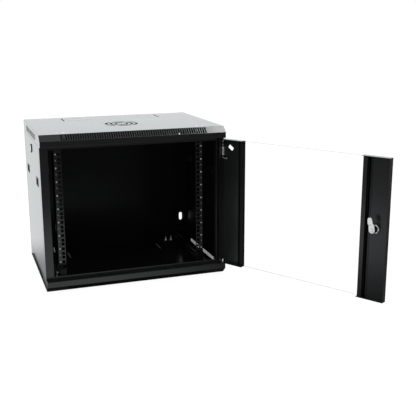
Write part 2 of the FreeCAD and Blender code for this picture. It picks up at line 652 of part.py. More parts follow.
def make_bracket(name, side, at_top):
    """Fold one depth bracket: foot on the pan, wall beside the rail, two long slots.

    A top bracket is drawn on the floor on the other side and turned over with its pan.
    """
    drawn_side = {"": "-", "-": ""}[side] if at_top else side
    body = new_body(name)
    outline = new_sketch(body, name + "Outline", "XZ_Plane", "-bracket_front")
    outer = "%s(%s)" % (drawn_side, BRACKET_OUT)
    outer_in = "%s(%s - bracket_sheet)" % (drawn_side, BRACKET_OUT)
    toe = "%s(%s - bracket_foot)" % (drawn_side, BRACKET_OUT)
    draw_polygon(outline, [
        (outer, "sheet"), (outer, "sheet + bracket_rise"), (outer_in, "sheet + bracket_rise"),
        (outer_in, "sheet + bracket_sheet"), (toe, "sheet + bracket_sheet"), (toe, "sheet")])
    pad(body, outline, "%s - bracket_front" % BRACKET_END, reverse=True)
    fold_at(body, "y", "bracket_sheet", [(outer, "sheet")],
            [(outer_in, "sheet + bracket_sheet")])
    slots = new_sketch(body, name + "Slots", "YZ_Plane", outer)
    for step in ("0", "bracket_slot_step"):
        middle = "sheet + bracket_slot_low + " + step
        draw_rectangle(slots, "bracket_front + bracket_slot_margin",
                       middle + " - bracket_slot/2",
                       "%s - bracket_slot_margin" % BRACKET_END,
                       middle + " + bracket_slot/2")
    draw_rectangle(slots, "depth - rear_ledge - bracket_notch",
                   "pan_rise - sheet - bracket_notch",
                   BRACKET_END + " + bracket_notch", "2*sheet + bracket_rise")
    pocket(body, slots, "2*bracket_sheet", reverse=(drawn_side == "-"))
    holes = new_sketch(body, name + "Holes", "XY_Plane", "sheet")
    for end in ("-", "+"):
        for place in SCREW_ROWS:
            draw_circle(holes, "%s(%s %s bracket_screw_half)" % (drawn_side, SCREWS_MID, end),
                        place, "foot_screw_hole")
    pocket(body, holes, "bracket_sheet", reverse=True)
    return turned_over(body) if at_top else in_cabinet(body)


def turned_over(piece):
    """Turn a floor piece over to the top of the cabinet."""
    piece.Placement = Placement(Vector(), Rotation(Vector(0, 1, 0), 180))
    piece.setExpression("Placement.Base.z", bound("height"))
    return in_cabinet(piece)


def make_rail(name, side):
    """Fold one 19-inch rail: face with square holes, side wall with bolt holes."""
    body = new_body(name)
    outline = new_sketch(body, name + "Outline", "XY_Plane", "sheet + rail_end_gap")
    outer = side + "(rail_clear + rail_face)"
    outer_in = side + "(rail_clear + rail_face - rail_sheet)"
    draw_polygon(outline, [
        (side + "rail_clear", "rail_front"), (outer, "rail_front"),
        (outer, "rail_front + rail_wall"), (outer_in, "rail_front + rail_wall"),
        (outer_in, "rail_front + rail_sheet"), (side + "rail_clear", "rail_front + rail_sheet")])
    pad(body, outline, "height - 2*sheet - 2*rail_end_gap")
    fold_at(body, "z", "rail_sheet", [(outer, "rail_front")],
            [(outer_in, "rail_front + rail_sheet")])
    unit_holes = new_sketch(body, name + "UnitHoles", "XZ_Plane", "-rail_front")
    first_unit = "height/2 - unit*(unit_count - 1)/2"
    for step in ("- hole_offset", "", "+ hole_offset"):
        draw_rectangle(unit_holes, side + "hole_column - hole_side/2",
                       "%s %s - hole_side/2" % (first_unit, step),
                       side + "hole_column + hole_side/2",
                       "%s %s + hole_side/2" % (first_unit, step))
    cut = pocket(body, unit_holes, "2*rail_sheet")
    row_of(body, cut, "Z_Axis", "unit*(unit_count - 1)", "unit_count")
    bolt_holes = new_sketch(body, name + "BoltHoles", "YZ_Plane", outer)
    for middle in BOLT_HEIGHTS:
        draw_circle(bolt_holes, BOLT_Y, middle, "bolt_hole")
    pocket(body, bolt_holes, "2*rail_sheet", reverse=(side == "-"))
    return in_cabinet(body)


BOLT_Y = "rail_front + bolt_set"
BOLT_HEIGHTS = ["sheet + bracket_slot_low", "sheet + bracket_slot_low + bracket_slot_step",
                "height - sheet - bracket_slot_low",
                "height - sheet - bracket_slot_low - bracket_slot_step"]


# ---------------------------------------------------------------- fasteners in groups

def hexagon(flats, thickness):
    """Return a hexagonal prism on the XY plane."""
    corners = [Vector(flats / math.sqrt(3), 0, 0)]
    for step in range(1, 7):
        corners.append(Rotation(Vector(0, 0, 1), 60 * step).multVec(corners[0]))
    return Part.Face(Part.makePolygon(corners)).extrude(Vector(0, 0, thickness))


def group(name, solid, places):
    """Copy one solid to every place and keep the copies as one sub-part."""
    piece = doc.addObject("Part::Feature", name)
    copies = []
    for place in places:
        copy = solid.copy()
        copy.Placement = place
        copies.append(copy)
    piece.Shape = Part.makeCompound(copies)
    return in_cabinet(piece)


def foot_screw_places(rise):
    """Return the places of the sixteen foot screws, a distance in from the pan's outer face."""
    places = []
    for side, end, place in FOOT_SCREWS:
        across = value_of("%s(%s %s bracket_screw_half)" % (side, SCREWS_MID, end))
        back = value_of(place)
        places.append(Placement(Vector(across, back, rise), Rotation()))
        places.append(Placement(Vector(across, back, value_of("height") - rise),
                                Rotation(Vector(1, 0, 0), 180)))
    return places


def make_foot_screws():
    """Countersunk screws through the pans and the brackets' feet."""
    head = value_of("foot_screw_head") / 2
    shank = value_of("foot_screw") / 2
    cone = Part.makeCone(head, shank, head - shank)
    rod = Part.makeCylinder(shank, value_of("foot_screw_length") - (head - shank),
                            Vector(0, 0, head - shank))
    return group("FootScrews", cone.fuse(rod).removeSplitter(), foot_screw_places(0))


def make_foot_nuts():
    """Nuts on the brackets' feet."""
    size = value_of("foot_nut")
    nut = hexagon(value_of("foot_nut_flats"), size)
    nut = nut.cut(Part.makeCylinder(value_of("foot_screw") / 2, size))
    return group("FootNuts", nut, foot_screw_places(value_of("sheet + bracket_sheet")))


def rail_bolt_places(distance, outward):
    """Return the places of the eight rail bolts, facing the middle or the sides."""
    places = []
    for side in (1, -1):
        turn = Rotation(Vector(0, 1, 0), 90 * side if outward else -90 * side)
        for middle in BOLT_HEIGHTS:
            places.append(Placement(
                Vector(side * distance, value_of(BOLT_Y), value_of(middle)), turn))
    return places


def make_rail_bolts():
    """Flanged hexagon bolts from inside each rail into the bracket's slots."""
    flange = value_of("bolt_flange_rise")
    shank = value_of("rail_sheet + bracket_sheet + bolt_flange_rise + bolt_head")
    bolt = hexagon(value_of("bolt_flats"), value_of("bolt_head + bolt_flange_rise"))
    bolt = bolt.fuse(Part.makeCylinder(value_of("bolt_flange") / 2, flange))
    bolt = bolt.fuse(Part.makeCylinder(value_of("bolt_shank") / 2, shank, Vector(),
                                       Vector(0, 0, -1)))
    seat = value_of("rail_clear + rail_face - rail_sheet")
    return group("RailBolts", bolt.removeSplitter(), rail_bolt_places(seat, False))


def make_rail_nuts():
    """Flanged nuts outside the bracket's wall."""
    size = value_of("bolt_head + bolt_flange_rise")
    nut = hexagon(value_of("bolt_flats"), size)
    nut = nut.fuse(Part.makeCylinder(value_of("bolt_flange") / 2, value_of("bolt_flange_rise")))
    nut = nut.cut(Part.makeCylinder(value_of("bolt_shank") / 2, size))
    return group("RailNuts", nut.removeSplitter(), rail_bolt_places(value_of(BRACKET_OUT), True))


# ---------------------------------------------------------------- faces that carry locks

class Face:
    """An outer face that a lock or latch passes through, and the way inwards from it."""

    def __init__(self, role, surface, inward, reverse, side=""):
        self.role = role
        self.surface = surface
        self.inward = inward
        self.reverse = reverse
        self.side = side

    def at(self, distance):
        """Return the sketch offset a distance inside the face."""
        return "%s %s (%s)" % (self.surface, self.inward, distance)

    def sketch(self, body, name, distance):
        return new_sketch(body, name, self.role, self.at(distance))

    def grow(self, body, sketch, length):
        """Pad inwards from the sketch."""
        return pad(body, sketch, length, reverse=self.reverse)

    def cut(self, body, sketch, length):
        """Pocket inwards from the sketch."""
        return pocket(body, sketch, length, reverse=not self.reverse)


DOOR_FACE = Face("XZ_Plane", "0", "-", True)
RIGHT_FACE = Face("YZ_Plane", "width/2", "-", True)
LEFT_FACE = Face("YZ_Plane", "-width/2", "+", False, "-")


def draw_hexagon(sketch, across, up, flats):
    """Draw a hexagon with two flats level, about a centre."""
    reach = "(%s)/2/sin(60deg)" % flats
    half = "(%s)/2" % flats
    draw_polygon(sketch, [
        ("%s + %s" % (across, reach), up),
        ("%s + %s/2" % (across, reach), "%s + %s" % (up, half)),
        ("%s - %s/2" % (across, reach), "%s + %s" % (up, half)),
        ("%s - %s" % (across, reach), up),
        ("%s - %s/2" % (across, reach), "%s - %s" % (up, half)),
        ("%s + %s/2" % (across, reach), "%s - %s" % (up, half))])


def make_barrel(name, face, centre, length, head_size):
    """Turn a lock barrel: head, threaded body and the bore for the core."""
    body = new_body(name)
    head = face.sketch(body, name + "Head", "-lock_head_rise")
    draw_circle(head, *centre, head_size)
    face.grow(body, head, "lock_head_rise")
    thread = face.sketch(body, name + "Thread", "0")
    draw_circle(thread, *centre, "lock_thread")
    face.grow(body, thread, length)
    bore = face.sketch(body, name + "Bore", "-lock_head_rise")
    draw_circle(bore, *centre, "lock_core + 2*lock_core_gap")
    face.cut(body, bore, "lock_head_rise + " + length)
    return body


def make_lock_nut(name, face, centre, skin):
    """Cut the nut that clamps a lock behind the sheet."""
    body = new_body(name)
    outline = face.sketch(body, name + "Outline", skin)
    draw_hexagon(outline, *centre, "lock_nut_flats")
    draw_circle(outline, *centre, "lock_thread")
    face.grow(body, outline, "lock_nut")
    return body


def make_core(name, face, centre, length):
    """Turn the lock's core: key slot outside, square end inside."""
    body = new_body(name)
    rod = face.sketch(body, name + "Rod", "-lock_head_rise")
    draw_circle(rod, *centre, "lock_core")
    face.grow(body, rod, "lock_head_rise + %s + cam_gap" % length)
    square = face.sketch(body, name + "Square", length + " + cam_gap")
    across, up = centre
    draw_rectangle(square, across + " - cam_square/2", up + " - cam_square/2",
                   across + " + cam_square/2", up + " + cam_square/2")
    face.grow(body, square, "cam_plate")
    key = face.sketch(body, name + "Key", "-lock_head_rise")
    draw_rectangle(key, across + " - lock_key_width/2", up + " - lock_key_tall/2",
                   across + " + lock_key_width/2", up + " + lock_key_tall/2")
    face.cut(body, key, "lock_key_deep")
    return body


def make_cam_screw(name, face, centre, length):
    """Washer and hexagon screw that hold the cam on the core."""
    body = new_body(name)
    seat = length + " + cam_gap + cam_plate"
    washer = face.sketch(body, name + "Washer", seat)
    draw_circle(washer, *centre, "cam_washer")
    face.grow(body, washer, "cam_washer_rise")
    head = face.sketch(body, name + "Head", seat + " + cam_washer_rise")
    draw_hexagon(head, *centre, "cam_screw_head")
    face.grow(body, head, "cam_screw_rise")
    return body


def draw_cam_outline(sketch, hub, width, reach):
    """Draw a cam's outline upward from the sketch's origin: hub arc, tapering sides, tip arc."""
    hub_radius, tip_radius = value_of(hub) / 2, value_of(width) / 2
    tip_height = value_of(reach) - tip_radius
    lean = math.asin((hub_radius - tip_radius) / tip_height)
    up_axis = Vector(0, 0, 1)
    hub_circle = Part.Circle(Vector(), up_axis, hub_radius)
    tip_circle = Part.Circle(Vector(0, tip_height, 0), up_axis, tip_radius)
    first = sketch.GeometryCount
    hub_arc = Part.ArcOfCircle(hub_circle, math.pi - lean, 2 * math.pi + lean)
    tip_arc = Part.ArcOfCircle(tip_circle, lean, math.pi - lean)
    sketch.addGeometry(hub_arc, False)
    sketch.addGeometry(Part.LineSegment(hub_arc.EndPoint, tip_arc.StartPoint), False)
    sketch.addGeometry(tip_arc, False)
    sketch.addGeometry(Part.LineSegment(tip_arc.EndPoint, hub_arc.StartPoint), False)
    for index in range(4):
        sketch.addConstraint(Sketcher.Constraint(
            "Tangent", first + index, 2, first + (index + 1) % 4, 1))
    fix_point(sketch, first, 3, "0", "0")
    fix_point(sketch, first + 2, 3, "0", "%s - %s/2" % (reach, width))
    for edge, size in ((first, hub), (first + 2, width)):
        index = sketch.addConstraint(
            Sketcher.Constraint("Radius", edge, value_of(size) / 2))
        sketch.setExpression("Constraints[%d]" % index, bound("(%s)/2" % size))


def lean_sketch(sketch, base, axis, angle):
    """Move a sketch to a centre and turn it there."""
    sketch.AttachmentOffset = Placement(Vector(), Rotation(axis, 1.0))
    for name, expression in zip("xyz", base):
        sketch.setExpression("AttachmentOffset.Base." + name, bound(expression))
    sketch.setExpression("AttachmentOffset.Rotation.Angle", bound(angle))


def make_door_cam():
    """Press the door's cam: a cranked tongue with a tapered outline and a square hole."""
    body = new_body("DoorCam")
    seat = "lock_length + cam_gap"
    side_view = new_sketch(body, "DoorCamSide", "YZ_Plane")
    lean_sketch(side_view, ("0", LOCK_Z, LOCK_X), Vector(1, 0, 0), "cam_lean*1deg")
    step = "cam_crank_start + cam_crank_run"
    draw_polygon(side_view, [
        (seat, "-cam_hub/2"), (seat, "cam_crank_start"), (seat + " + cam_crank", step),
        (seat + " + cam_crank", "cam_reach"), (seat + " + cam_crank + cam_plate", "cam_reach"),
        (seat + " + cam_crank + cam_plate", step), (seat + " + cam_plate", "cam_crank_start"),
        (seat + " + cam_plate", "-cam_hub/2")])
    pad(body, side_view, "cam_hub", symmetric=True)
    trim = new_sketch(body, "DoorCamTrim", "XZ_Plane")
    lean_sketch(trim, (LOCK_X, LOCK_Z, "0"), Vector(0, 0, 1), "-cam_lean*1deg")
    draw_rectangle(trim, "-cam_hub", "-cam_hub", "cam_hub", "cam_reach + cam_hub")
    draw_cam_outline(trim, "cam_hub", "cam_width", "cam_reach")
    pocket(body, trim, "depth")
    hole = DOOR_FACE.sketch(body, "DoorCamHole", seat)
    draw_rectangle(hole, LOCK_X + " - cam_square/2", LOCK_Z + " - cam_square/2",
                   LOCK_X + " + cam_square/2", LOCK_Z + " + cam_square/2")
    DOOR_FACE.cut(body, hole, "cam_plate")
    return on_door(body)


def make_side_cam(name, face):
    """Cut a side panel's flat cam, which points to the rear when the lock is open."""
    body = new_body(name)
    seat = "side_lock_length + cam_gap"
    outline = new_sketch(body, name + "Outline", face.role)
    lean_sketch(outline, (PANEL_MID, SIDE_LOCK_Z, face.at(seat)), Vector(0, 0, 1), "-90deg")
    draw_cam_outline(outline, "cam_hub", "cam_width", "side_cam_reach")
    draw_rectangle(outline, "-cam_square/2", "-cam_square/2", "cam_square/2", "cam_square/2")
    face.grow(body, outline, "cam_plate")
    return in_cabinet(body)


def make_door_lock():
    """Make the five pieces of the door's cam lock."""
    centre = (LOCK_X, LOCK_Z)
    barrel = make_barrel("DoorLockBarrel", DOOR_FACE, centre, "lock_length", "lock_head")
    keep(on_door(barrel), "door_lock_barrel")
    keep(on_door(make_lock_nut("DoorLockNut", DOOR_FACE, centre, "sheet")), "door_lock_nut")
    keep(on_door(make_core("DoorLockCore", DOOR_FACE, centre, "lock_length")), "door_lock_core")
    keep(make_door_cam(), "door_lock_cam")
    keep(on_door(make_cam_screw("DoorCamScrew", DOOR_FACE, centre, "lock_length")),
         "door_lock_screw")


def make_side_lock(word, face):
    """Make the five pieces of a side panel's cam lock."""
    centre = (PANEL_MID, SIDE_LOCK_Z)
    length = "side_lock_length"
    stem = "SideLock" + word.title()
    barrel = make_barrel(stem + "Barrel", face, centre, length, "side_lock_head")
    keep(in_cabinet(barrel), "side_lock_barrel_" + word)
    keep(in_cabinet(make_lock_nut(stem + "Nut", face, centre, "panel_sheet")),
         "side_lock_nut_" + word)
    keep(in_cabinet(make_core(stem + "Core", face, centre, length)), "side_lock_core_" + word)
    keep(make_side_cam(stem + "Cam", face), "side_lock_cam_" + word)
    keep(in_cabinet(make_cam_screw(stem + "Screw", face, centre, length)),
         "side_lock_screw_" + word)


# ---------------------------------------------------------------- side panels and latches

def latch_y(end):
    """Return the middle of the front ("-") or rear ("+") latch."""
    return {"-": PANEL_FRONT + " + latch_inset", "+": PANEL_REAR + " - latch_inset"}[end]


def draw_block(sketch, middle, length, rise):
    """Draw a rectangle about a latch's middle, at the latches' height."""
    draw_rectangle(sketch, "%s - (%s)/2" % (middle, length), "%s - (%s)/2" % (LATCH_Z, rise),
                   "%s + (%s)/2" % (middle, length), "%s + (%s)/2" % (LATCH_Z, rise))


def make_side_panel(name, face):
    """Fold a side panel: sheet with four flanges, holes for a lock and two latches."""
    body = new_body(name)
    outer = face.sketch(body, name + "Outline", "0")
    draw_rectangle(outer, PANEL_FRONT, PANEL_LOW, PANEL_REAR, PANEL_HIGH)
    face.grow(body, outer, "panel_pan")
    surface = value_of(face.surface)

    def on_face(start, end):
        return abs(start.x - surface) < 0.01 and abs(end.x - surface) < 0.01
    round_edges(body, "panel_sheet + bend", on_face)
    inside = face.sketch(body, name + "Inside", "panel_sheet")
    draw_rectangle(inside, PANEL_FRONT + " + panel_sheet", PANEL_LOW + " + panel_sheet",
                   PANEL_REAR + " - panel_sheet", PANEL_HIGH + " - panel_sheet")
    face.cut(body, inside, "panel_pan")
    holes = face.sketch(body, name + "Holes", "0")
    draw_circle(holes, PANEL_MID, SIDE_LOCK_Z, "lock_thread + 2*lock_hole_gap")
    for end in ("-", "+"):
        draw_block(holes, latch_y(end), "latch_box_y + 2*lock_hole_gap",
                   "latch_box_z + 2*lock_hole_gap")
    face.cut(body, holes, "panel_sheet")
    ports = face.sketch(body, name + "Ports", TONGUE_AT + " - latch_run")
    for start, stop in ((PANEL_FRONT, PANEL_FRONT + " + panel_sheet"),
                        (PANEL_REAR + " - panel_sheet", PANEL_REAR)):
        draw_rectangle(ports, start, LATCH_Z + " - latch_tongue_z/2 - latch_run",
                       stop, LATCH_Z + " + latch_tongue_z/2 + latch_run")
    face.cut(body, ports, "latch_tongue_x + 2*latch_run")
    return in_cabinet(body)


TONGUE_AT = "latch_skin + latch_run + 2*latch_run"
INSIDE_Y = "(latch_box_y - 2*latch_skin)"
INSIDE_Z = "(latch_box_z - 2*latch_skin)"
SLIDE_Y = "(latch_box_y - 2*latch_skin - 2*latch_run - latch_travel)"
SLIDE_Z = "(latch_box_z - 2*latch_skin - 2*latch_run)"
SLIDE_DEEP = "(latch_box_deep - 2*latch_skin - 2*latch_run)"
WELL_DEEP = "(latch_box_deep - 2*latch_skin - 2*latch_run - latch_well_floor)"


def make_latch_box(name, face, end):
    """Mould a latch's box: rim outside, open box inside, and a port for the tongue."""
    body = new_body(name)
    middle = latch_y(end)
    plate = face.sketch(body, name + "Plate", "-latch_plate")
    draw_block(plate, middle, "latch_box_y + 2*latch_rim", "latch_box_z + 2*latch_rim")
    face.grow(body, plate, "latch_plate")
    box = face.sketch(body, name + "Box", "0")
    draw_block(box, middle, "latch_box_y", "latch_box_z")
    face.grow(body, box, "latch_box_deep")
    window = face.sketch(body, name + "Window", "-latch_plate")
    draw_block(window, middle, INSIDE_Y + " - 2*latch_skin", INSIDE_Z + " - 2*latch_run")
    face.cut(body, window, "latch_plate + latch_skin")
    slideway = face.sketch(body, name + "Slideway", "latch_skin")
    draw_block(slideway, middle, INSIDE_Y, INSIDE_Z)
    face.cut(body, slideway, "latch_box_deep - 2*latch_skin")
    port = face.sketch(body, name + "Port", TONGUE_AT + " - latch_run")
    wall = "%s %s latch_box_y/2" % (middle, end)
    inner = "%s %s (latch_box_y/2 - latch_skin)" % (middle, end)
    draw_rectangle(port, inner, LATCH_Z + " - latch_tongue_z/2 - latch_run",
                   wall, LATCH_Z + " + latch_tongue_z/2 + latch_run")
    face.cut(body, port, "latch_tongue_x + 2*latch_run")
    return in_cabinet(body)


def make_latch_slide(name, face, end):
    """Mould a latch's slide, drawn back: block, thumb well with a rib, and tongue."""
    body = new_body(name)
    back = {"-": "+", "+": "-"}[end]
    middle = "%s %s latch_travel/2" % (latch_y(end), back)
    block = face.sketch(body, name + "Block", "latch_skin + latch_run")
    draw_block(block, middle, SLIDE_Y, SLIDE_Z)
    face.grow(body, block, SLIDE_DEEP)
    well = face.sketch(body, name + "Well", "latch_skin + latch_run")
    draw_block(well, middle, SLIDE_Y + " - 2*latch_well_wall", SLIDE_Z + " - 2*latch_well_wall")
    face.cut(body, well, WELL_DEEP)
    rib = face.sketch(body, name + "Rib", "latch_skin + latch_run + latch_grip_drop")
    draw_block(rib, middle, "latch_grip_y", SLIDE_Z + " - latch_well_wall")
    face.grow(body, rib, "latch_box_deep - 2*latch_skin - 2*latch_run - latch_grip_drop")
    tongue = face.sketch(body, name + "Tongue", TONGUE_AT)
    tip = {"-": PANEL_FRONT + " + latch_run", "+": PANEL_REAR + " - latch_run"}[end]
    root = "%s %s (%s/2 - latch_well_wall/2)" % (middle, end, SLIDE_Y)
    draw_rectangle(tongue, root, LATCH_Z + " - latch_tongue_z/2",
                   tip, LATCH_Z + " + latch_tongue_z/2")
    face.grow(body, tongue, "latch_tongue_x")
    return in_cabinet(body)


def make_side(word, face):
    """Make one side panel with its lock and latches."""
    title = word.title()
    keep(make_side_panel("SidePanel" + title, face), "side_panel_" + word)
    make_side_lock(word, face)
    for place, end in (("front", "-"), ("rear", "+")):
        stem = "Latch" + place.title() + title
        keep(make_latch_box(stem + "Box", face, end), "latch_box_%s_%s" % (place, word))
        keep(make_latch_slide(stem + "Slide", face, end), "latch_slide_%s_%s" % (place, word))


# ---------------------------------------------------------------- door

def strip_end(side):
    """Return how far from the middle a strip ends over the glass."""
    return "%s - %s" % (DOOR_EDGE, "lock_strip" if side == "-" else "hinge_strip")


def make_strip(name, side):
    """Fold a door strip: face, flange along the door's edge, and flanges at both ends."""
    body = new_body(name)
    end = "%s(%s)" % (side, strip_end(side))
    outline = new_sketch(body, name + "Outline", "XY_Plane", DOOR_LOW)
    draw_polygon(outline, [
        (end, "0"), ("%s(%s)" % (side, DOOR_EDGE), "0"),
        ("%s(%s)" % (side, DOOR_EDGE), "door_pan"),
        ("%s(%s - sheet)" % (side, DOOR_EDGE), "door_pan"),
        ("%s(%s - sheet)" % (side, DOOR_EDGE), "sheet"),
        (end, "sheet")])
    pad(body, outline, "(%s) - (%s)" % (DOOR_HIGH, DOOR_LOW))
    fold_at(body, "z", "sheet", [("%s(%s)" % (side, DOOR_EDGE), "0")],
            [("%s(%s - sheet)" % (side, DOOR_EDGE), "sheet")])
    ends = new_sketch(body, name + "Ends", "XZ_Plane", "-sheet")
    outer = "%s(%s - sheet)" % (side, DOOR_EDGE)
    draw_rectangle(ends, end, DOOR_LOW, outer, DOOR_LOW + " + sheet")
    draw_rectangle(ends, end, DOOR_HIGH + " - sheet", outer, DOOR_HIGH)
    pad(body, ends, "door_pan - sheet", reverse=True)
    return body


def make_hinge_strip():
    """Make the strip on the hinge line, with its slanted hole and pin holes."""
    body = make_strip("HingeStrip", "")
    hole = new_sketch(body, "HingeStripPeephole", "XZ_Plane")
    across = "%s - peephole_inset" % DOOR_EDGE
    up = "%s - peephole_drop" % DOOR_HIGH
    level, fall = "cos(peephole_slant*1deg)/2", "sin(peephole_slant*1deg)/2"
    draw_polygon(hole, [
        ("%s %s peephole_long*%s %s peephole*%s" % (across, end, level, edge, fall),
         "%s %s peephole_long*%s %s peephole*%s" % (up, end, fall, other, level))
        for end, edge, other in (("+", "-", "+"), ("-", "-", "+"), ("-", "+", "-"),
                                 ("+", "+", "-"))])
    pocket(body, hole, "sheet")
    pins = new_sketch(body, "HingeStripPins", "XY_Plane", DOOR_HIGH)
    draw_circle(pins, HINGE_X, "hinge_y", "pin_hole")
    pocket(body, pins, "height")
    return on_door(body)


def make_lock_strip():
    """Make the strip on the lock side, with the hole for the lock."""
    body = make_strip("LockStrip", "-")
    hole = new_sketch(body, "LockStripHole", "XZ_Plane")
    draw_circle(hole, LOCK_X, LOCK_Z, "lock_thread + 2*lock_hole_gap")
    pocket(body, hole, "sheet")
    return on_door(body)


def upright(name, side, corners):
    """Pad an outline between a strip's end flanges; its X runs from the centre outwards."""
    body = new_body(name)
    outline = new_sketch(body, name + "Outline", "XY_Plane", DOOR_LOW + " + sheet")
    draw_polygon(outline, [("%s(%s)" % (side, across), up) for across, up in corners])
    pad(body, outline, "(%s) - (%s) - 2*sheet" % (DOOR_HIGH, DOOR_LOW))
    return on_door(body)


def make_retainer(name, side):
    """Fold the Z-shaped retainer that holds the glass behind a strip."""
    end = strip_end(side)
    lip, web, toe = end + " + glass_lap", end + WEB_OUTER, end + WEB_OUTER + " + retainer_foot"
    return upright(name, side, [
        (end, RETAINER_RISE), (lip, RETAINER_RISE), (lip, "sheet"), (toe, "sheet"),
        (toe, "2*sheet"), (web, "2*sheet"), (web, RETAINER_RISE + " + sheet"),
        (end, RETAINER_RISE + " + sheet")])


def make_gasket(name, side):
    """Mould the U-shaped gasket round the glass's edge."""
    end = strip_end(side)
    lip, groove = end + " + glass_lap", end + " + glass_lap - gasket"
    return upright(name, side, [
        (end, "sheet"), (lip, "sheet"), (lip, RETAINER_RISE), (end, RETAINER_RISE),
        (end, RETAINER_RISE + " - gasket"), (groove, RETAINER_RISE + " - gasket"),
        (groove, "sheet + gasket"), (end, "sheet + gasket")])


def make_seal(name, side):
    """Cut the rubber strip glued beside the retainer's web."""
    web = strip_end(side) + WEB_OUTER
    return upright(name, side, [
        (web, "2*sheet"), (web + " + seal_width", "2*sheet"),
        (web + " + seal_width", "2*sheet + seal_rise"), (web, "2*sheet + seal_rise")])


def make_glass():
    """Cut the toughened pane between the two gaskets."""
    body = new_body("Glass")
    outline = new_sketch(body, "GlassOutline", "XZ_Plane", "-(sheet + gasket)")
    lap = " + glass_lap - gasket"
    draw_rectangle(outline, "-(%s)" % (strip_end("-") + lap), DOOR_LOW + " + glass_inset",
                   strip_end("") + lap, DOOR_HIGH + " - glass_inset")
    pad(body, outline, "glass", reverse=True)
    return on_door(body)


# ---------------------------------------------------------------- door pins

def make_pin_bracket():
    """Fold the bracket whose two ears guide the sprung pin."""
    body = new_body("PinBracket")
    outline = new_sketch(body, "PinBracketOutline", "YZ_Plane",
                         "%s - sheet - bend" % DOOR_EDGE)
    low = TOP_LEDGE + " - ear_low_drop"
    high = TOP_LEDGE + " - ear_high_drop"
    front, web, rear = "sheet", "sheet + ear_sheet", "sheet + ear_deep"
    draw_polygon(outline, [
        (front, low), (rear, low), (rear, low + " + ear_sheet"), (web, low + " + ear_sheet"),
        (web, high), (rear, high), (rear, high + " + ear_sheet"),
        (front, high + " + ear_sheet")])
    pad(body, outline, "ear_width", reverse=True)
    holes = new_sketch(body, "PinBracketHoles", "XY_Plane", "height")
    draw_circle(holes, HINGE_X, "hinge_y", "pin_hole")
    pocket(body, holes, "height")
    return on_door(body)


def make_sprung_pin():
    """Bend the sprung pin: shank up through the ledge, elbow, and handle."""
    body = new_body("SprungPin")
    handle_z = TOP_LEDGE + " - pin_drop"
    tip = TOP_LEDGE + " + sheet + pin_reach"
    path = new_sketch(body, "SprungPinPath", "XZ_Plane", "-hinge_y")
    radius = value_of("pin_elbow")
    line_x, low, high = value_of(HINGE_X), value_of(handle_z), value_of(tip)
    end_x = line_x - value_of("pin_handle")
    path.addGeometry(Part.LineSegment(
        Vector(line_x, high, 0), Vector(line_x, low + radius, 0)), False)
    path.addGeometry(Part.ArcOfCircle(Part.Circle(
        Vector(line_x - radius, low + radius, 0), Vector(0, 0, 1), radius),
        1.5 * math.pi, 2 * math.pi), False)
    path.addGeometry(Part.LineSegment(
        Vector(line_x - radius, low, 0), Vector(end_x, low, 0)), False)
    path.addConstraint(Sketcher.Constraint("Tangent", 0, 2, 1, 2))
    path.addConstraint(Sketcher.Constraint("Tangent", 1, 1, 2, 1))
    path.addConstraint(Sketcher.Constraint("Vertical", 0))
    path.addConstraint(Sketcher.Constraint("Horizontal", 2))
    fix_point(path, 0, 1, HINGE_X, tip)
    fix_point(path, 2, 2, HINGE_X + " - pin_handle", handle_z)
    bend = path.addConstraint(Sketcher.Constraint("Radius", 1, radius))
    path.setExpression("Constraints[%d]" % bend, bound("pin_elbow"))
    section = new_sketch(body, "SprungPinSection", "XY_Plane", tip)
    draw_circle(section, HINGE_X, "hinge_y", "pin")
    pipe = body.newObject("PartDesign::AdditivePipe", "SprungPinPipe")
    pipe.Profile = section
    pipe.Spine = path
    body.Tip = pipe
    return on_door(body)


def make_ring(name, outer, inner, low, rise, place):
    """Cut a flat ring on the hinge line."""
    body = new_body(name)
    outline = new_sketch(body, name + "Outline", "XY_Plane", low)
    draw_circle(outline, HINGE_X, "hinge_y", outer)
    draw_circle(outline, HINGE_X, "hinge_y", inner)
    pad(body, outline, rise)
    return place(body)


def make_spring():
    """Wind the spring between the lower ear and the collar."""
    piece = doc.addObject("Part::Feature", "PinSpring")
    wire = value_of("spring_wire") / 2
    low = value_of(TOP_LEDGE + " - ear_low_drop + ear_sheet + spring_gap") + wire
    high = value_of(TOP_LEDGE + " - pin_collar_drop - spring_gap") - wire
    radius = value_of("spring_outer") / 2 - wire
    turns = value_of("spring_turns")
    helix = Part.makeHelix((high - low) / turns, high - low, radius)
    section = Part.Wire(Part.Circle(Vector(radius, 0, 0), Vector(0, 1, 0), wire).toShape())
    coil = Part.Wire(helix).makePipeShell([section], True, True)
    coil.translate(Vector(value_of(HINGE_X), value_of("hinge_y"), low))
    piece.Shape = Part.makeCompound([coil])
    return on_door(piece)


def make_fixed_pin():
    """Turn the fixed pin: head under the ledge and shank into the door's lower flange."""
    body = new_body("FixedPin")
    head = new_sketch(body, "FixedPinHead", "XY_Plane", "pan_rise - sheet")
    draw_circle(head, HINGE_X, "hinge_y", "low_pin_head")
    pad(body, head, "low_pin_head_rise", reverse=True)
    shank = new_sketch(body, "FixedPinShank", "XY_Plane", "pan_rise - sheet")
    draw_circle(shank, HINGE_X, "hinge_y", "pin")
    pad(body, shank, "sheet + low_pin_top")
    return in_cabinet(body)


# ---------------------------------------------------------------- assembly

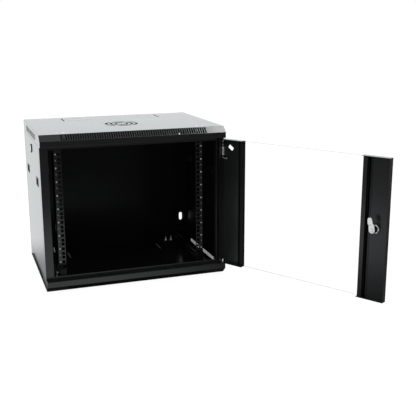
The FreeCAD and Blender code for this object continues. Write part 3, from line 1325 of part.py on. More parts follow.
def make_carcass():
    """Make everything that stands still."""
    keep(make_frame("BottomFrame", "", False), "bottom_frame")
    top = make_frame("TopFrame", "-", True)
    keep(turned_over(top), "top_frame")
    for word, side in (("left", "-"), ("right", "")):
        title = word.title()
        keep(make_front_post("FrontPost" + title, side, word == "left"), "front_post_" + word)
        keep(make_rear_post("RearPost" + title, side), "rear_post_" + word)
        keep(make_rail("Rail" + title, side), "rail_" + word)
        for level, at_top in (("bottom", False), ("top", True)):
            keep(make_bracket("Bracket" + level.title() + title, side, at_top),
                 "bracket_%s_%s" % (level, word))
    keep(make_rear_panel(), "rear_panel")
    keep(make_foot_screws(), "foot_screws")
    keep(make_foot_nuts(), "foot_nuts")
    keep(make_rail_bolts(), "rail_bolts")
    keep(make_rail_nuts(), "rail_nuts")
    keep(make_fixed_pin(), "fixed_pin")
    keep(make_ring("PinWasher", "washer", "pin_hole", "pan_rise",
                   "door_end_gap - washer_gap", in_cabinet), "pin_washer")


def make_door():
    """Make the door, its glass, its lock and its sprung pin."""
    keep(make_hinge_strip(), "door_hinge_strip")
    keep(make_lock_strip(), "door_lock_strip")
    for word, side in (("hinge", ""), ("lock", "-")):
        title = word.title()
        keep(make_retainer("Retainer" + title, side), "glass_retainer_" + word)
        keep(make_gasket("Gasket" + title, side), "glass_gasket_" + word)
        keep(make_seal("Seal" + title, side), "door_seal_" + word)
    keep(make_glass(), "door_glass")
    make_door_lock()
    keep(make_pin_bracket(), "pin_bracket")
    keep(make_sprung_pin(), "sprung_pin")
    keep(make_ring("PinCollar", "pin_collar", "pin", TOP_LEDGE + " - pin_collar_drop",
                   "pin_collar_rise", on_door), "pin_collar")
    keep(make_spring(), "pin_spring")


def check_document():
    """Stop if any object failed or any sub-part has no sound shape."""
    for item in doc.Objects:
        if "Invalid" in item.State or "Error" in item.State:
            raise RuntimeError("%s failed: %s" % (item.Name, item.State))
    for piece in sub_parts:
        shape = piece.Shape
        if shape.isNull() or not shape.isValid() or not shape.Solids:
            raise RuntimeError("%s has no sound shape" % piece.Label)


def export():
    """Write one STEP file for each sub-part."""
    os.makedirs("parts", exist_ok=True)
    for piece in sub_parts:
        piece.Shape.exportStep("parts/%s.step" % piece.Label)
        print("%-26s %2d solid(s) %12.1f mm3" % (
            piece.Label, len(piece.Shape.Solids), piece.Shape.Volume))


make_carcass()
make_side("left", LEFT_FACE)
make_side("right", RIGHT_FACE)
make_door()
doc.recompute()
check_document()
export()
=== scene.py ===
"""Looks of the wall-mount network cabinet: finishes, fine pieces, studio and camera."""

import json
import logging
import math
from dataclasses import dataclass, field
from enum import Enum
from typing import Any, Callable, Optional, Sequence, Union

import bpy
from mathutils import Matrix, Vector

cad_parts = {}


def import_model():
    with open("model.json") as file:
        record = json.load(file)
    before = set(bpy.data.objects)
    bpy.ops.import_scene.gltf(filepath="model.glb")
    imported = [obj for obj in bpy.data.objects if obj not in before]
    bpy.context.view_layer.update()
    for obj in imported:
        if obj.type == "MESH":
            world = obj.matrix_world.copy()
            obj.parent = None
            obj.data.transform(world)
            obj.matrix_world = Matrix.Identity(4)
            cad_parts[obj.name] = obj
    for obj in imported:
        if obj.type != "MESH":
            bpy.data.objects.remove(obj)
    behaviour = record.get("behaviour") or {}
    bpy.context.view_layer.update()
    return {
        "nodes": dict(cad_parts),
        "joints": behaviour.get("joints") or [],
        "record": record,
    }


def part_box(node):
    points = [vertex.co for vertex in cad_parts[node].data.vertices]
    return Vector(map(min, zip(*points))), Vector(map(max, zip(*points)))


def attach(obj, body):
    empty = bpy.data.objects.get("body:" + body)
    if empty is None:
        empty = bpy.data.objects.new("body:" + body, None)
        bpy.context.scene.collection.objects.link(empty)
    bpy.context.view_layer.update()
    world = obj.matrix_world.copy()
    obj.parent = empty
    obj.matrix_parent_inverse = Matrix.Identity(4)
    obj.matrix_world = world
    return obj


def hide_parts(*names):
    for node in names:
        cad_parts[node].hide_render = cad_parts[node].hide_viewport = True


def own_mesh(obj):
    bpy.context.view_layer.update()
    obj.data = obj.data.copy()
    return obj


log = logging.getLogger("network_cabinet")

Number = Union[int, float]
Pair = tuple[float, float]
Triple = tuple[float, float, float]
Colour = Triple
Grain = tuple[float, ...]  # a noise: features per metre, octaves, weight of the finer ones
MIX_FIRST, MIX_SECOND, MIXED = 6, 7, 2  # a Mix node's colour sockets, by number
EDGE_SAMPLES = 6


# ------------------------------------------------------------------ shader maths

class Wire:
    """An output socket of a material, with arithmetic that adds Math nodes."""

    def __init__(self, look: "Look", socket: bpy.types.NodeSocket) -> None:
        """Keep the material builder and the socket."""
        self.look = look
        self.socket = socket

    def _math(self, operation: str, first: Any, second: Any = None) -> "Wire":
        """Add one Math node.

        Args:
            operation: Blender's name of the operation.
            first: first operand, a Wire or a number.
            second: second operand, or None for an operation on one value.

        Returns:
            The node's output.
        """
        inputs = {0: first} if second is None else {0: first, 1: second}
        return self.look.node("ShaderNodeMath", {"operation": operation}, inputs)

    def __add__(self, other: Any) -> "Wire":
        """Add."""
        return self._math("ADD", self, other)

    def __radd__(self, other: Any) -> "Wire":
        """Add, reflected."""
        return self._math("ADD", other, self)

    def __sub__(self, other: Any) -> "Wire":
        """Subtract."""
        return self._math("SUBTRACT", self, other)

    def __rsub__(self, other: Any) -> "Wire":
        """Subtract, reflected."""
        return self._math("SUBTRACT", other, self)

    def __mul__(self, other: Any) -> "Wire":
        """Multiply."""
        return self._math("MULTIPLY", self, other)

    def __rmul__(self, other: Any) -> "Wire":
        """Multiply, reflected."""
        return self._math("MULTIPLY", other, self)

    def __truediv__(self, other: Any) -> "Wire":
        """Divide."""
        return self._math("DIVIDE", self, other)

    def __rtruediv__(self, other: Any) -> "Wire":
        """Divide, reflected."""
        return self._math("DIVIDE", other, self)

    def __pow__(self, other: Any) -> "Wire":
        """Raise to a power."""
        return self._math("POWER", self, other)

    def __abs__(self) -> "Wire":
        """Drop the sign."""
        return self._math("ABSOLUTE", self)

    def below(self, limit: Any) -> "Wire":
        """Return 1 where the value is below the limit, else 0."""
        return self._math("LESS_THAN", self, limit)

    def above(self, limit: Any) -> "Wire":
        """Return 1 where the value is above the limit, else 0."""
        return self._math("GREATER_THAN", self, limit)

    def most(self, other: Any) -> "Wire":
        """Return the larger of two values."""
        return self._math("MAXIMUM", self, other)

    def repeat(self, step: Number) -> "Wire":
        """Return the distance to the nearest multiple of a step."""
        return self._math("PINGPONG", self, step / 2)

    def swing(self, spread: Number) -> "Wire":
        """Return a value from 0 to 1 as a swing about 0, as wide as the spread."""
        return (self - 0.5) * spread

    def ramp(self, start: Number, end: Number) -> "Wire":
        """Return 0 at the start, 1 at the end, smooth between them.

        Args:
            start: value that gives 0.
            end: value that gives 1.

        Returns:
            The eased value.
        """
        return self.look.node(
            "ShaderNodeMapRange", {"interpolation_type": "SMOOTHSTEP"},
            {"Value": self, "From Min": start, "From Max": end})


class Look:
    """Builds one node tree, of a material or of the world."""

    def __init__(self, tree: bpy.types.NodeTree) -> None:
        """Empty the tree.

        Args:
            tree: node tree to fill.
        """
        self.tree = tree
        tree.nodes.clear()

    def node(self, kind: str, settings: Optional[dict] = None,
             inputs: Optional[dict] = None, output: Union[int, str] = 0) -> Wire:
        """Add a node.

        Args:
            kind: Blender's type name.
            settings: properties of the node, set before its sockets.
            inputs: values or Wires by socket name or number.
            output: which output to return.

        Returns:
            The chosen output.
        """
        made = self.tree.nodes.new(kind)
        for name, value in (settings or {}).items():
            setattr(made, name, value)
        for name, value in (inputs or {}).items():
            socket = made.inputs[name]
            if isinstance(value, Wire):
                self.tree.links.new(value.socket, socket)
            else:
                socket.default_value = value
        outputs = made.outputs
        return Wire(self, outputs[output]) if len(outputs) else Wire(self, made.inputs[0])

    def place(self) -> Wire:
        """Return the Object coordinates."""
        return self.node("ShaderNodeTexCoord", output="Object")

    def axes(self, vector: Wire) -> tuple[Wire, Wire, Wire]:
        """Split a vector into its three numbers.

        Args:
            vector: the vector.

        Returns:
            Its X, Y and Z.
        """
        split = self.node("ShaderNodeSeparateXYZ", None, {0: vector}).socket.node
        across, back, up = (Wire(self, socket) for socket in split.outputs)
        return across, back, up

    def rays(self) -> tuple[Wire, Wire]:
        """Tell what kind of ray meets the surface.

        Returns:
            1 on rays of the eye, also through glass, and 1 on rays of gloss.
        """
        kinds = self.node("ShaderNodeLightPath").socket.node.outputs
        eye, through, gloss = (Wire(self, kinds["Is %s Ray" % kind])
                               for kind in ("Camera", "Transmission", "Glossy"))
        return eye.most(through), gloss

    def noise(self, vector: Wire, scale: Number, detail: Number = 2.0,
              rough: Number = 0.5) -> Wire:
        """Add a noise texture.

        Args:
            vector: coordinates.
            scale: features per metre.
            detail: octaves.
            rough: weight of the finer octaves.

        Returns:
            Noise from about 0 to 1.
        """
        return self.node("ShaderNodeTexNoise", None,
                         {"Vector": vector, "Scale": scale, "Detail": detail,
                          "Roughness": rough}, "Fac")

    def blend(self, share: Any, first: Any, second: Any) -> Wire:
        """Mix two colours.

        Args:
            share: weight of the second.
            first: colour where the share is 0.
            second: colour where the share is 1.

        Returns:
            The mixed colour.
        """
        colours = [value if isinstance(value, Wire) else (*value, 1.0)
                   for value in (first, second)]
        return self.node("ShaderNodeMix", {"data_type": "RGBA"},
                         {0: share, MIX_FIRST: colours[0], MIX_SECOND: colours[1]}, MIXED)

    def mix(self, share: Any, first: Wire, second: Wire) -> Wire:
        """Mix two shaders; the share is the weight of the second."""
        return self.node("ShaderNodeMixShader", None, {0: share, 1: first, 2: second})

    def bump(self, height: Wire, depth: Number, strength: Number,
             normal: Optional[Wire] = None) -> Wire:
        """Add a Bump node.

        Args:
            height: height from 0 to 1.
            depth: metres for a height of 1.
            strength: share of the effect.
            normal: normal to start from.

        Returns:
            The new normal.
        """
        inputs = {"Height": height, "Distance": depth, "Strength": strength}
        if normal is not None:
            inputs["Normal"] = normal
        return self.node("ShaderNodeBump", None, inputs)

    def round_edges(self, radius: Number) -> Wire:
        """Return a normal that is rounded over edges."""
        return self.node("ShaderNodeBevel", {"samples": EDGE_SAMPLES}, {"Radius": radius})


def new_material(name: str) -> tuple[bpy.types.Material, Look]:
    """Start a material.

    Args:
        name: material name.

    Returns:
        The material and the builder of its nodes.
    """
    material = bpy.data.materials.new(name)
    material.use_nodes = True
    return material, Look(material.node_tree)


def finish_surface(look: Look, shader: Wire) -> None:
    """Join a shader to the material's output."""
    look.node("ShaderNodeOutputMaterial", None, {"Surface": shader})


# ------------------------------------------------------------------ finishes

@dataclass(frozen=True)
class Surface:
    """A finish that is one Principled shader.

    Where a finish has two colours, contrast holds the noise values at which the dark one ends
    and the light one begins.
    """

    name: str

    def sockets(self, look: Look, place: Wire) -> dict[str, Any]:
        """Return what goes into the shader's sockets, by their names."""
        raise NotImplementedError(self.name)

    def make(self) -> bpy.types.Material:
        """Build the material.

        Returns:
            The material.
        """
        material, look = new_material(self.name)
        inputs = self.sockets(look, look.place())
        finish_surface(look, look.node("ShaderNodeBsdfPrincipled", None, inputs))
        return material


@dataclass(frozen=True)
class Inside:
    """Where a face belongs to the cabinet's inside, by its place.

    A nose is the sloped front edge of a pan, skin is how deep its back lies, and its slots are
    spaced by vent_pitch from vent_first.
    """

    side: float = 0.2994
    front: float = -0.2000
    rear: float = 0.2243
    low: float = 0.0006
    high: float = 0.5004
    middle: float = 0.2505
    nose_foot: Pair = (-0.225, 0.232)
    nose_run: float = 0.021
    nose_rise: float = 0.0185
    skin: float = 0.0003
    vent_first: float = 0.2325
    vent_pitch: float = 0.0075
    vent_half: float = 0.0028
    vent_reach: Pair = (-0.22385, -0.20515)

    def mask(self, look: Look, place: Wire) -> Wire:
        """Mark the inside, the backs of the noses and the edges of the noses' slots.

        Args:
            look: the material's builder.
            place: Object coordinates.

        Returns:
            1 on those faces, else 0.
        """
        across, back, up = look.axes(place)
        height = abs(up - self.middle) - self.nose_foot[1]
        depth = ((back - self.nose_foot[0]) * self.nose_rise - height * self.nose_run) \
            / math.hypot(self.nose_run, self.nose_rise)
        nose = depth.above(self.skin) * height.above(self.skin)
        inside = abs(across).below(self.side) * back.above(self.front).most(nose) \
            * back.below(self.rear) * up.above(self.low) * up.below(self.high)
        start, end = self.vent_reach
        slots = (across + self.vent_first).repeat(self.vent_pitch).below(self.vent_half) \
            * abs(across).below(self.vent_first + self.vent_half) \
            * back.above(start) * back.below(end) * height.above(0)
        return inside.most(slots)


@dataclass(frozen=True)
class PowderCoat(Surface):
    """Black powder coat on steel sheet: almost black, under a smooth clear skin."""

    name: str = "black_powder_coat"
    dark: Colour = (0.0014, 0.0018, 0.0020)
    light: Colour = (0.0026, 0.0032, 0.0035)
    clouds: Grain = (7.0, 4.0)
    contrast: Pair = (0.35, 0.7)
    inside: Inside = Inside()
    roughness: float = 0.42
    inner_roughness: float = 0.62
    wiping: Grain = (11.0, 5.0, 0.65)
    wiping_spread: float = 0.08
    peel: Grain = (1500.0, 1.0)
    peel_spread: float = 0.06
    peel_depth: float = 0.00004
    peel_strength: float = 0.25
    edge: float = 0.0005
    ior: float = 1.5
    inner_coat: float = 0.12
    coat_ior: float = 1.75
    coat_roughness: float = 0.16

    def colour(self, look: Look, place: Wire) -> Wire:
        """Return the coat's colour: slow clouds of thicker and thinner powder."""
        clouds = look.noise(place, *self.clouds)
        return look.blend(clouds.ramp(*self.contrast), self.dark, self.light)

    def inner(self, look: Look, place: Wire) -> Union[Wire, float]:
        """Return 1 where the powder lies thin and matt."""
        return self.inside.mask(look, place)

    def sockets(self, look: Look, place: Wire) -> dict[str, Any]:
        """Give the colour, the orange peel, and less gloss where the powder lies thin.

        Args:
            look: the material's builder.
            place: Object coordinates.

        Returns:
            What goes into the shader's sockets, by their names.
        """
        peel = look.noise(place, *self.peel)
        wiping = look.noise(place, *self.wiping)
        inner = self.inner(look, place)
        matt = self.roughness + inner * (self.inner_roughness - self.roughness)
        return {
            "Base Color": self.colour(look, place),
            "Roughness": matt + wiping.swing(self.wiping_spread) + peel.swing(self.peel_spread),
            "Normal": look.bump(peel, self.peel_depth, self.peel_strength,
                                look.round_edges(self.edge)),
            "IOR": self.ior, "Coat Weight": 1 - inner * (1 - self.inner_coat),
            "Coat IOR": self.coat_ior, "Coat Roughness": self.coat_roughness}


@dataclass(frozen=True)
class RailCoat(PowderCoat):
    """Powder coat of the rails, with a white mark and a faint dot in each unit."""

    name: str = "rail_powder_coat"
    face: float = -0.138
    face_reach: float = 0.0004
    front_coat: float = 0.0016
    mark_x: float = 0.2436
    mark_wide: float = 0.0042
    mark_tall: float = 0.0046
    dot_wide: float = 0.0032
    dot_tall: float = 0.0030
    dot_rise: float = 0.0025
    unit: float = 0.04445
    marked_units: float = 8.6
    ink: Colour = (0.45, 0.47, 0.46)
    faint_ink: Colour = (0.21, 0.22, 0.22)

    def inner(self, look: Look, place: Wire) -> Wire:
        """Return 1 on all faces behind the rail's front face."""
        return look.axes(place)[1].above(self.face + self.front_coat)

    def colour(self, look: Look, place: Wire) -> Wire:
        """Print a mark and a dot in each unit on the coat's colour.

        Args:
            look: the material's builder.
            place: Object coordinates.

        Returns:
            The colour.
        """
        across, back, up = look.axes(place)
        beside = abs(abs(across) - self.mark_x)
        height = up - self.inside.middle
        from_middle = height.repeat(self.unit)
        from_edge = (height - self.unit / 2 - self.dot_rise).repeat(self.unit)
        mark = beside.below(self.mark_wide / 2) * from_middle.below(self.mark_tall / 2)
        dot = beside.below(self.dot_wide / 2) * from_edge.below(self.dot_tall / 2)
        printed = abs(back - self.face).below(self.face_reach) \
            * abs(height).below(self.unit * self.marked_units / 2)
        dotted = look.blend(dot * printed, super().colour(look, place), self.faint_ink)
        return look.blend(mark * printed, dotted, self.ink)


@dataclass(frozen=True)
class MattCoat(PowderCoat):
    """Powder coat that is thin and matt all over, on a piece that lies in a fold."""

    name: str = "matt_powder_coat"

    def inner(self, look: Look, place: Wire) -> float:
        """Return 1 everywhere."""
        return 1.0


@dataclass(frozen=True)
class Mottled(Surface):
    """A finish in patches of two colours, over a fine relief."""

    light: Colour
    dark: Colour
    roughness: float
    spread: float
    metal: float = 0.0
    patches: Grain = (160.0, 4.0, 0.6)
    contrast: Pair = (0.35, 0.7)
    relief: Grain = (900.0, 3.0, 0.7)
    relief_spread: float = 0.0
    depth: float = 0.00002
    strength: float = 0.25
    edge: float = 0.0003
    specular: float = 0.5

    def sockets(self, look: Look, place: Wire) -> dict[str, Any]:
        """Give the colour and gloss by the patches, and the bump by the relief.

        Args:
            look: the material's builder.
            place: Object coordinates.

        Returns:
            What goes into the shader's sockets, by their names.
        """
        patches = look.noise(place, *self.patches)
        relief = look.noise(place, *self.relief)
        roughness = self.roughness + patches.swing(self.spread)
        if self.relief_spread:
            roughness += relief.swing(self.relief_spread)
        return {
            "Base Color": look.blend(patches.ramp(*self.contrast), self.dark, self.light),
            "Metallic": self.metal, "Specular IOR Level": self.specular,
            "Roughness": roughness,
            "Normal": look.bump(relief, self.depth, self.strength,
                                look.round_edges(self.edge))}


@dataclass(frozen=True)
class Plating(Mottled):
    """Zinc or chrome plate on steel, or bare drawn steel."""

    relief_spread: float = 0.04


@dataclass(frozen=True)
class Rubber(Mottled):
    """Matt black rubber of gaskets and seals, with dust and pores."""

    name: str = "black_rubber"
    light: Colour = (0.0024, 0.0024, 0.0026)
    dark: Colour = (0.0010, 0.0010, 0.0011)
    roughness: float = 0.72
    spread: float = 0.2
    patches: Grain = (90.0, 4.0, 0.6)
    contrast: Pair = (0.4, 0.75)
    relief: Grain = (2400.0, 1.0)
    depth: float = 0.00006
    strength: float = 0.5
    edge: float = 0.0006
    specular: float = 0.12


@dataclass(frozen=True)
class MouldedPlastic(Mottled):
    """Fine-grained black plastic of the latches, rubbed in patches."""

    name: str = "black_moulded_plastic"
    light: Colour = (0.009, 0.0093, 0.0096)
    dark: Colour = (0.004, 0.0041, 0.0043)
    roughness: float = 0.48
    spread: float = 0.15
    patches: Grain = (70.0, 4.0, 0.6)
    contrast: Pair = (0.4, 0.7)
    relief: Grain = (3200.0, 2.0)
    depth: float = 0.00005
    strength: float = 0.45
    edge: float = 0.0007


@dataclass(frozen=True)
class ClearGlass:
    """Toughened pane: clear, under a thin film with smears in its gloss."""

    name: str = "clear_toughened_glass"
    tint: Colour = (0.995, 1.0, 0.998)
    film: Colour = (0.75, 0.8, 0.78)
    film_alpha: float = 0.08
    roughness: float = 0.02
    smears: Grain = (9.0, 4.0, 0.6)
    smear_roughness: float = 0.03
    ior: float = 1.5

    def make(self) -> bpy.types.Material:
        """Build the material.

        Returns:
            The material.
        """
        material, look = new_material(self.name)
        clear = look.node("ShaderNodeBsdfTransparent", None, {"Color": (*self.tint, 1.0)})
        smears = look.noise(look.place(), *self.smears)
        gloss = look.node("ShaderNodeBsdfPrincipled", None, {
            "Base Color": (*self.film, 1.0), "Alpha": self.film_alpha,
            "Roughness": self.roughness + smears * self.smear_roughness})
        bend = look.node("ShaderNodeFresnel", None, {"IOR": self.ior})
        finish_surface(look, look.mix(bend, clear, gloss))
        return material


@dataclass(frozen=True)
class GroundGlass(Surface):
    """Ground edges of the pane: greenish grey and half clear.

    Roughness and alpha are each the least value and what the scratches add to it.
    """

    name: str = "ground_glass_edge"
    light: Colour = (0.32, 0.36, 0.35)
    dark: Colour = (0.20, 0.25, 0.23)
    grind: Grain = (700.0, 3.0, 0.6)
    contrast: Pair = (0.3, 0.7)
    roughness: Pair = (0.30, 0.2)
    alpha: Pair = (0.26, 0.14)
    depth: float = 0.00003
    strength: float = 0.4

    def sockets(self, look: Look, place: Wire) -> dict[str, Any]:
        """Give the colour, gloss and clearness by the scratches of the grinding.

        Args:
            look: the material's builder.
            place: Object coordinates.

        Returns:
            What goes into the shader's sockets, by their names.
        """
        grind = look.noise(place, *self.grind)
        return {
            "Base Color": look.blend(grind.ramp(*self.contrast), self.dark, self.light),
            "Roughness": self.roughness[0] + grind * self.roughness[1],
            "Normal": look.bump(grind, self.depth, self.strength),
            "Alpha": self.alpha[0] + grind * self.alpha[1]}


class Finish(Enum):
    """The finishes of the cabinet."""

    STEEL = PowderCoat()
    RAIL = RailCoat()
    ZINC = Plating("bright_zinc_plate", (0.95, 0.96, 0.95), (0.80, 0.81, 0.80), 0.26, 0.2, 0.3)
    DRAWN = Plating("drawn_steel", (0.62, 0.63, 0.63), (0.30, 0.31, 0.31), 0.20, 0.2, 0.75)
    MATT_STEEL = MattCoat()
    CHROME = Plating("polished_plate", (0.94, 0.95, 0.95), (0.80, 0.81, 0.81), 0.14, 0.1, 0.2)
    GLASS = ClearGlass()
    GLASS_EDGE = GroundGlass()
    RUBBER = Rubber()
    PLASTIC = MouldedPlastic()


class Wardrobe:
    """Makes each finish once and puts it on nodes and pieces."""

    def __init__(self) -> None:
        """Start with no material made."""
        self.made: dict[Finish, bpy.types.Material] = {}

    def get(self, finish: Finish) -> bpy.types.Material:
        """Find the material of a finish, building it the first time.

        Args:
            finish: the finish.

        Returns:
            The material.
        """
        if finish not in self.made:
            self.made[finish] = finish.value.make()
        return self.made[finish]

    def dress(self, piece: bpy.types.Object, finish: Finish) -> None:
        """Give every slot of a piece one finish.

        Args:
            piece: the object.
            finish: its finish.
        """
        material = self.get(finish)
        if not piece.material_slots:
            piece.data.materials.append(material)
        for part in piece.material_slots:
            part.material = material


# ------------------------------------------------------------------ modelling by hand

Ring = Pair  # radius and height
NOTHING = Matrix.Identity(4)
UP = Vector((0, 0, 1))
MERGE = 2e-6  # vertices nearer than this are one
TINY = 1e-6  # edges shorter than this go, and places nearer than this are the same
SMOOTH = math.radians(32)
SHARP = math.radians(40)
CLEAR = 0.001  # how far a cutter stands out of what it cuts
BREAK = 0.0003  # a broken edge
LEAD = 0.0002  # a finer one
FINE_ROUND, ROUND = 48, 40  # corners of a round piece
CREST = (0.4, 0.6)  # where a thread's crest starts and ends, as shares of the pitch
THREAD_DEPTH = 0.5  # depth of a thread, as a share of the pitch


class Side(Enum):
    """The two sides, each with its sign along X."""

    LEFT = -1
    RIGHT = 1

    @property
    def word(self) -> str:
        """Return the side's name as the nodes have it."""
        return self.name.lower()


class Join(Enum):
    """What carve makes of a piece and a tool."""

    CUT = "DIFFERENCE"
    ADD = "UNION"
    SHARED = "INTERSECT"


def deselect() -> None:
    """Leave nothing selected."""
    bpy.ops.object.select_all(action="DESELECT")


def pick(piece: bpy.types.Object) -> None:
    """Select one piece and make it the active one.

    Args:
        piece: the piece.
    """
    deselect()
    piece.select_set(True)
    bpy.context.view_layer.objects.active = piece


def seat(piece: bpy.types.Object, place: Matrix = NOTHING) -> bpy.types.Object:
    """Move a piece to its place and keep that place in its mesh.

    Args:
        piece: the piece.
        place: matrix from where it is to where it goes.

    Returns:
        The piece, its object at the origin.
    """
    pick(piece)
    piece.matrix_world = place @ piece.matrix_world
    bpy.ops.object.transform_apply(location=True, rotation=True, scale=True)
    return piece


def close(piece: bpy.types.Object) -> bpy.types.Object:
    """Merge the doubles of the mesh being edited, turn its faces outward and leave it.

    Args:
        piece: the piece in edit mode.

    Returns:
        The piece.
    """
    bpy.ops.mesh.select_mode(type="VERT")
    bpy.ops.mesh.select_all(action="SELECT")
    bpy.ops.mesh.remove_doubles(threshold=MERGE)
    bpy.ops.mesh.dissolve_degenerate(threshold=TINY)
    bpy.ops.mesh.normals_make_consistent(inside=False)
    bpy.ops.object.mode_set(mode="OBJECT")
    return piece


def raised(name: str, rings: Sequence[Ring], sides: int, tube: bool = False) -> bpy.types.Object:
    """Raise a round or many-sided piece along +Z, ring by ring.

    Args:
        name: object name.
        rings: radius and height of each ring.
        sides: corners of a ring; the first points to +Y.
        tube: True if the last ring joins the first, which leaves a bore.

    Returns:
        The closed piece.
    """
    deselect()
    radius, height = rings[0]
    bpy.ops.mesh.primitive_circle_add(vertices=sides, radius=radius, location=(0, 0, height),
                                      fill_type="NOTHING" if tube else "NGON")
    piece = bpy.context.object
    piece.name = name
    bpy.ops.object.mode_set(mode="EDIT")
    bpy.ops.mesh.select_mode(type="VERT")
    bpy.ops.mesh.select_all(action="SELECT")
    for next_radius, next_height in list(rings[1:]) + ([rings[0]] if tube else []):
        rise = next_height - height
        bpy.ops.mesh.extrude_region_move(TRANSFORM_OT_translate={"value": (0, 0, rise)})
        share = next_radius / radius
        bpy.ops.transform.resize(value=(share, share, 1), center_override=(0, 0, next_height))
        radius, height = next_radius, next_height
    return seat(close(piece))


def block(name: str, low: Sequence[float], high: Sequence[float],
          edge: float = 0.0) -> bpy.types.Object:
    """Add a block between two corners and round its edges.

    Args:
        name: object name.
        low: lowest corner.
        high: highest corner.
        edge: rounding of the edges, or 0.

    Returns:
        The block.
    """
    deselect()
    size = [last - first for first, last in zip(low, high)]
    bpy.ops.mesh.primitive_cube_add(
        size=1, location=[(first + last) / 2 for first, last in zip(low, high)], scale=size)
    piece = seat(bpy.context.object)
    piece.name = name
    return soften(piece, edge) if edge else piece


def soften(piece: bpy.types.Object, width: float, segments: int = 2) -> bpy.types.Object:
    """Round a piece's sharp edges.

    Args:
        piece: the piece.
        width: size of the rounding.
        segments: faces across it.

    Returns:
        The piece.
    """
    pick(piece)
    bevel = piece.modifiers.new("edges", "BEVEL")
    bevel.width = width
    bevel.segments = segments
    bevel.limit_method = "ANGLE"
    bevel.angle_limit = SHARP
    bpy.ops.object.modifier_apply(modifier=bevel.name)
    return piece


def carve(piece: bpy.types.Object, tool: bpy.types.Object,
          join: Join = Join.CUT) -> bpy.types.Object:
    """Cut a tool from a piece, join it on, or keep what both share.

    Args:
        piece: the piece that is changed.
        tool: the other solid, which is used up.
        join: which of these is done.

    Returns:
        The piece.
    """
    pick(piece)
    cut = piece.modifiers.new("cut", "BOOLEAN")
    cut.operation = join.value
    cut.solver = "EXACT"
    cut.object = tool
    bpy.ops.object.modifier_apply(modifier=cut.name)
    bpy.data.objects.remove(tool, do_unlink=True)
    bpy.ops.object.mode_set(mode="EDIT")
    return close(piece)


def choose(piece: bpy.types.Object, wanted: Callable[[Vector], bool]) -> None:
    """Enter edit mode with the vertices selected that stand in a wanted place.

    Args:
        piece: the piece.
        wanted: tells whether a vertex at a place is selected.
    """
    pick(piece)
    bpy.ops.object.mode_set(mode="EDIT")
    bpy.ops.mesh.select_mode(type="VERT")
    bpy.ops.mesh.select_all(action="DESELECT")
    bpy.ops.object.mode_set(mode="OBJECT")
    for vertex in piece.data.vertices:
        vertex.select = wanted(vertex.co)
    bpy.ops.object.mode_set(mode="EDIT")


def copy_of(piece: bpy.types.Object, name: str) -> bpy.types.Object:
    """Copy a piece, with a mesh of its own.

    Args:
        piece: the piece.
        name: the copy's name.

    Returns:
        The copy.
    """
    pick(piece)
    bpy.ops.object.duplicate(linked=False)
    twin = bpy.context.object
    twin.name = name
    return twin


def facing(spot: Sequence[float], right: Sequence[float], up: Sequence[float]) -> Matrix:
    """Work out the place whose X, Y and Z point right, up and outward.

    Args:
        spot: the place's origin.
        right: direction of X.
        up: direction of Y.

    Returns:
        The matrix.
    """
    across, rise = Vector(right).normalized(), Vector(up).normalized()
    turn = Matrix((across, rise, across.cross(rise))).transposed().to_4x4()
    return Matrix.Translation(Vector(spot)) @ turn


def spun(degrees: float, axis: str = "Z") -> Matrix:
    """Return a turn about an axis."""
    return Matrix.Rotation(math.radians(degrees), 4, axis)


def threads(radius: float, start: float, end: float, pitch: float) -> list[Ring]:
    """List rings that rise and fall as a thread does.

    Args:
        radius: outside radius.
        start: height where it begins.
        end: height where it ends.
        pitch: crest to crest.

    Returns:
        The rings, from start to end.
    """
    turns = max(1, round(abs(end - start) / pitch))
    step = (end - start) / turns
    root = radius - pitch * THREAD_DEPTH
    rings = [(root, start)]
    for turn in range(turns):
        foot = start + step * turn
        rings += [(radius, foot + step * share) for share in CREST] + [(root, foot + step)]
    return rings


def drill(bore: float, low: float, high: float, leads: Pair, sides: int) -> bpy.types.Object:
    """Make the cutter of a bore with a lead at each end.

    Args:
        bore: radius of the bore.
        low: height of the lower face that it goes through.
        high: height of the upper face.
        leads: how far the lower and the upper end widen.
        sides: corners of the bore.

    Returns:
        The cutter.
    """
    lead = leads[1] / 2
    return raised("drill", [(bore + leads[0], low - lead), (bore, low + lead),
                            (bore, high - lead), (bore + leads[1], high + lead)], sides)


def hexagon(name: str, flats: float, low: float, high: float, bore: float = 0.0,
            sides: int = 36) -> bpy.types.Object:
    """Make a hexagon bar with turned corners and, if asked, a bore.

    Args:
        name: object name.
        flats: size across flats; two flats face +Y and -Y.
        low: height of the lower face.
        high: height of the upper face.
        bore: radius of the bore, or 0 for none.
        sides: corners of the turned surfaces.

    Returns:
        The solid.
    """
    corner = flats / math.sqrt(3)
    # shares of the corner's stand-out, of the flats, of the corner and of the bore
    turned, within, beyond, lead_share = 0.75, 0.97, 1.02, 0.36
    rise = (corner - flats / 2) * turned
    bar = seat(raised(name, [(corner, low), (corner, high)], 6), spun(30))
    inner, outer = flats / 2 * within, corner * beyond
    carve(bar, raised("dome", [(inner, low), (outer, low + rise), (outer, high - rise),
                               (inner, high)], sides), Join.SHARED)
    if bore:
        lead = bore * lead_share
        carve(bar, drill(bore, low, high, (lead, lead), sides))
    return bar


# ------------------------------------------------------------------ small pieces

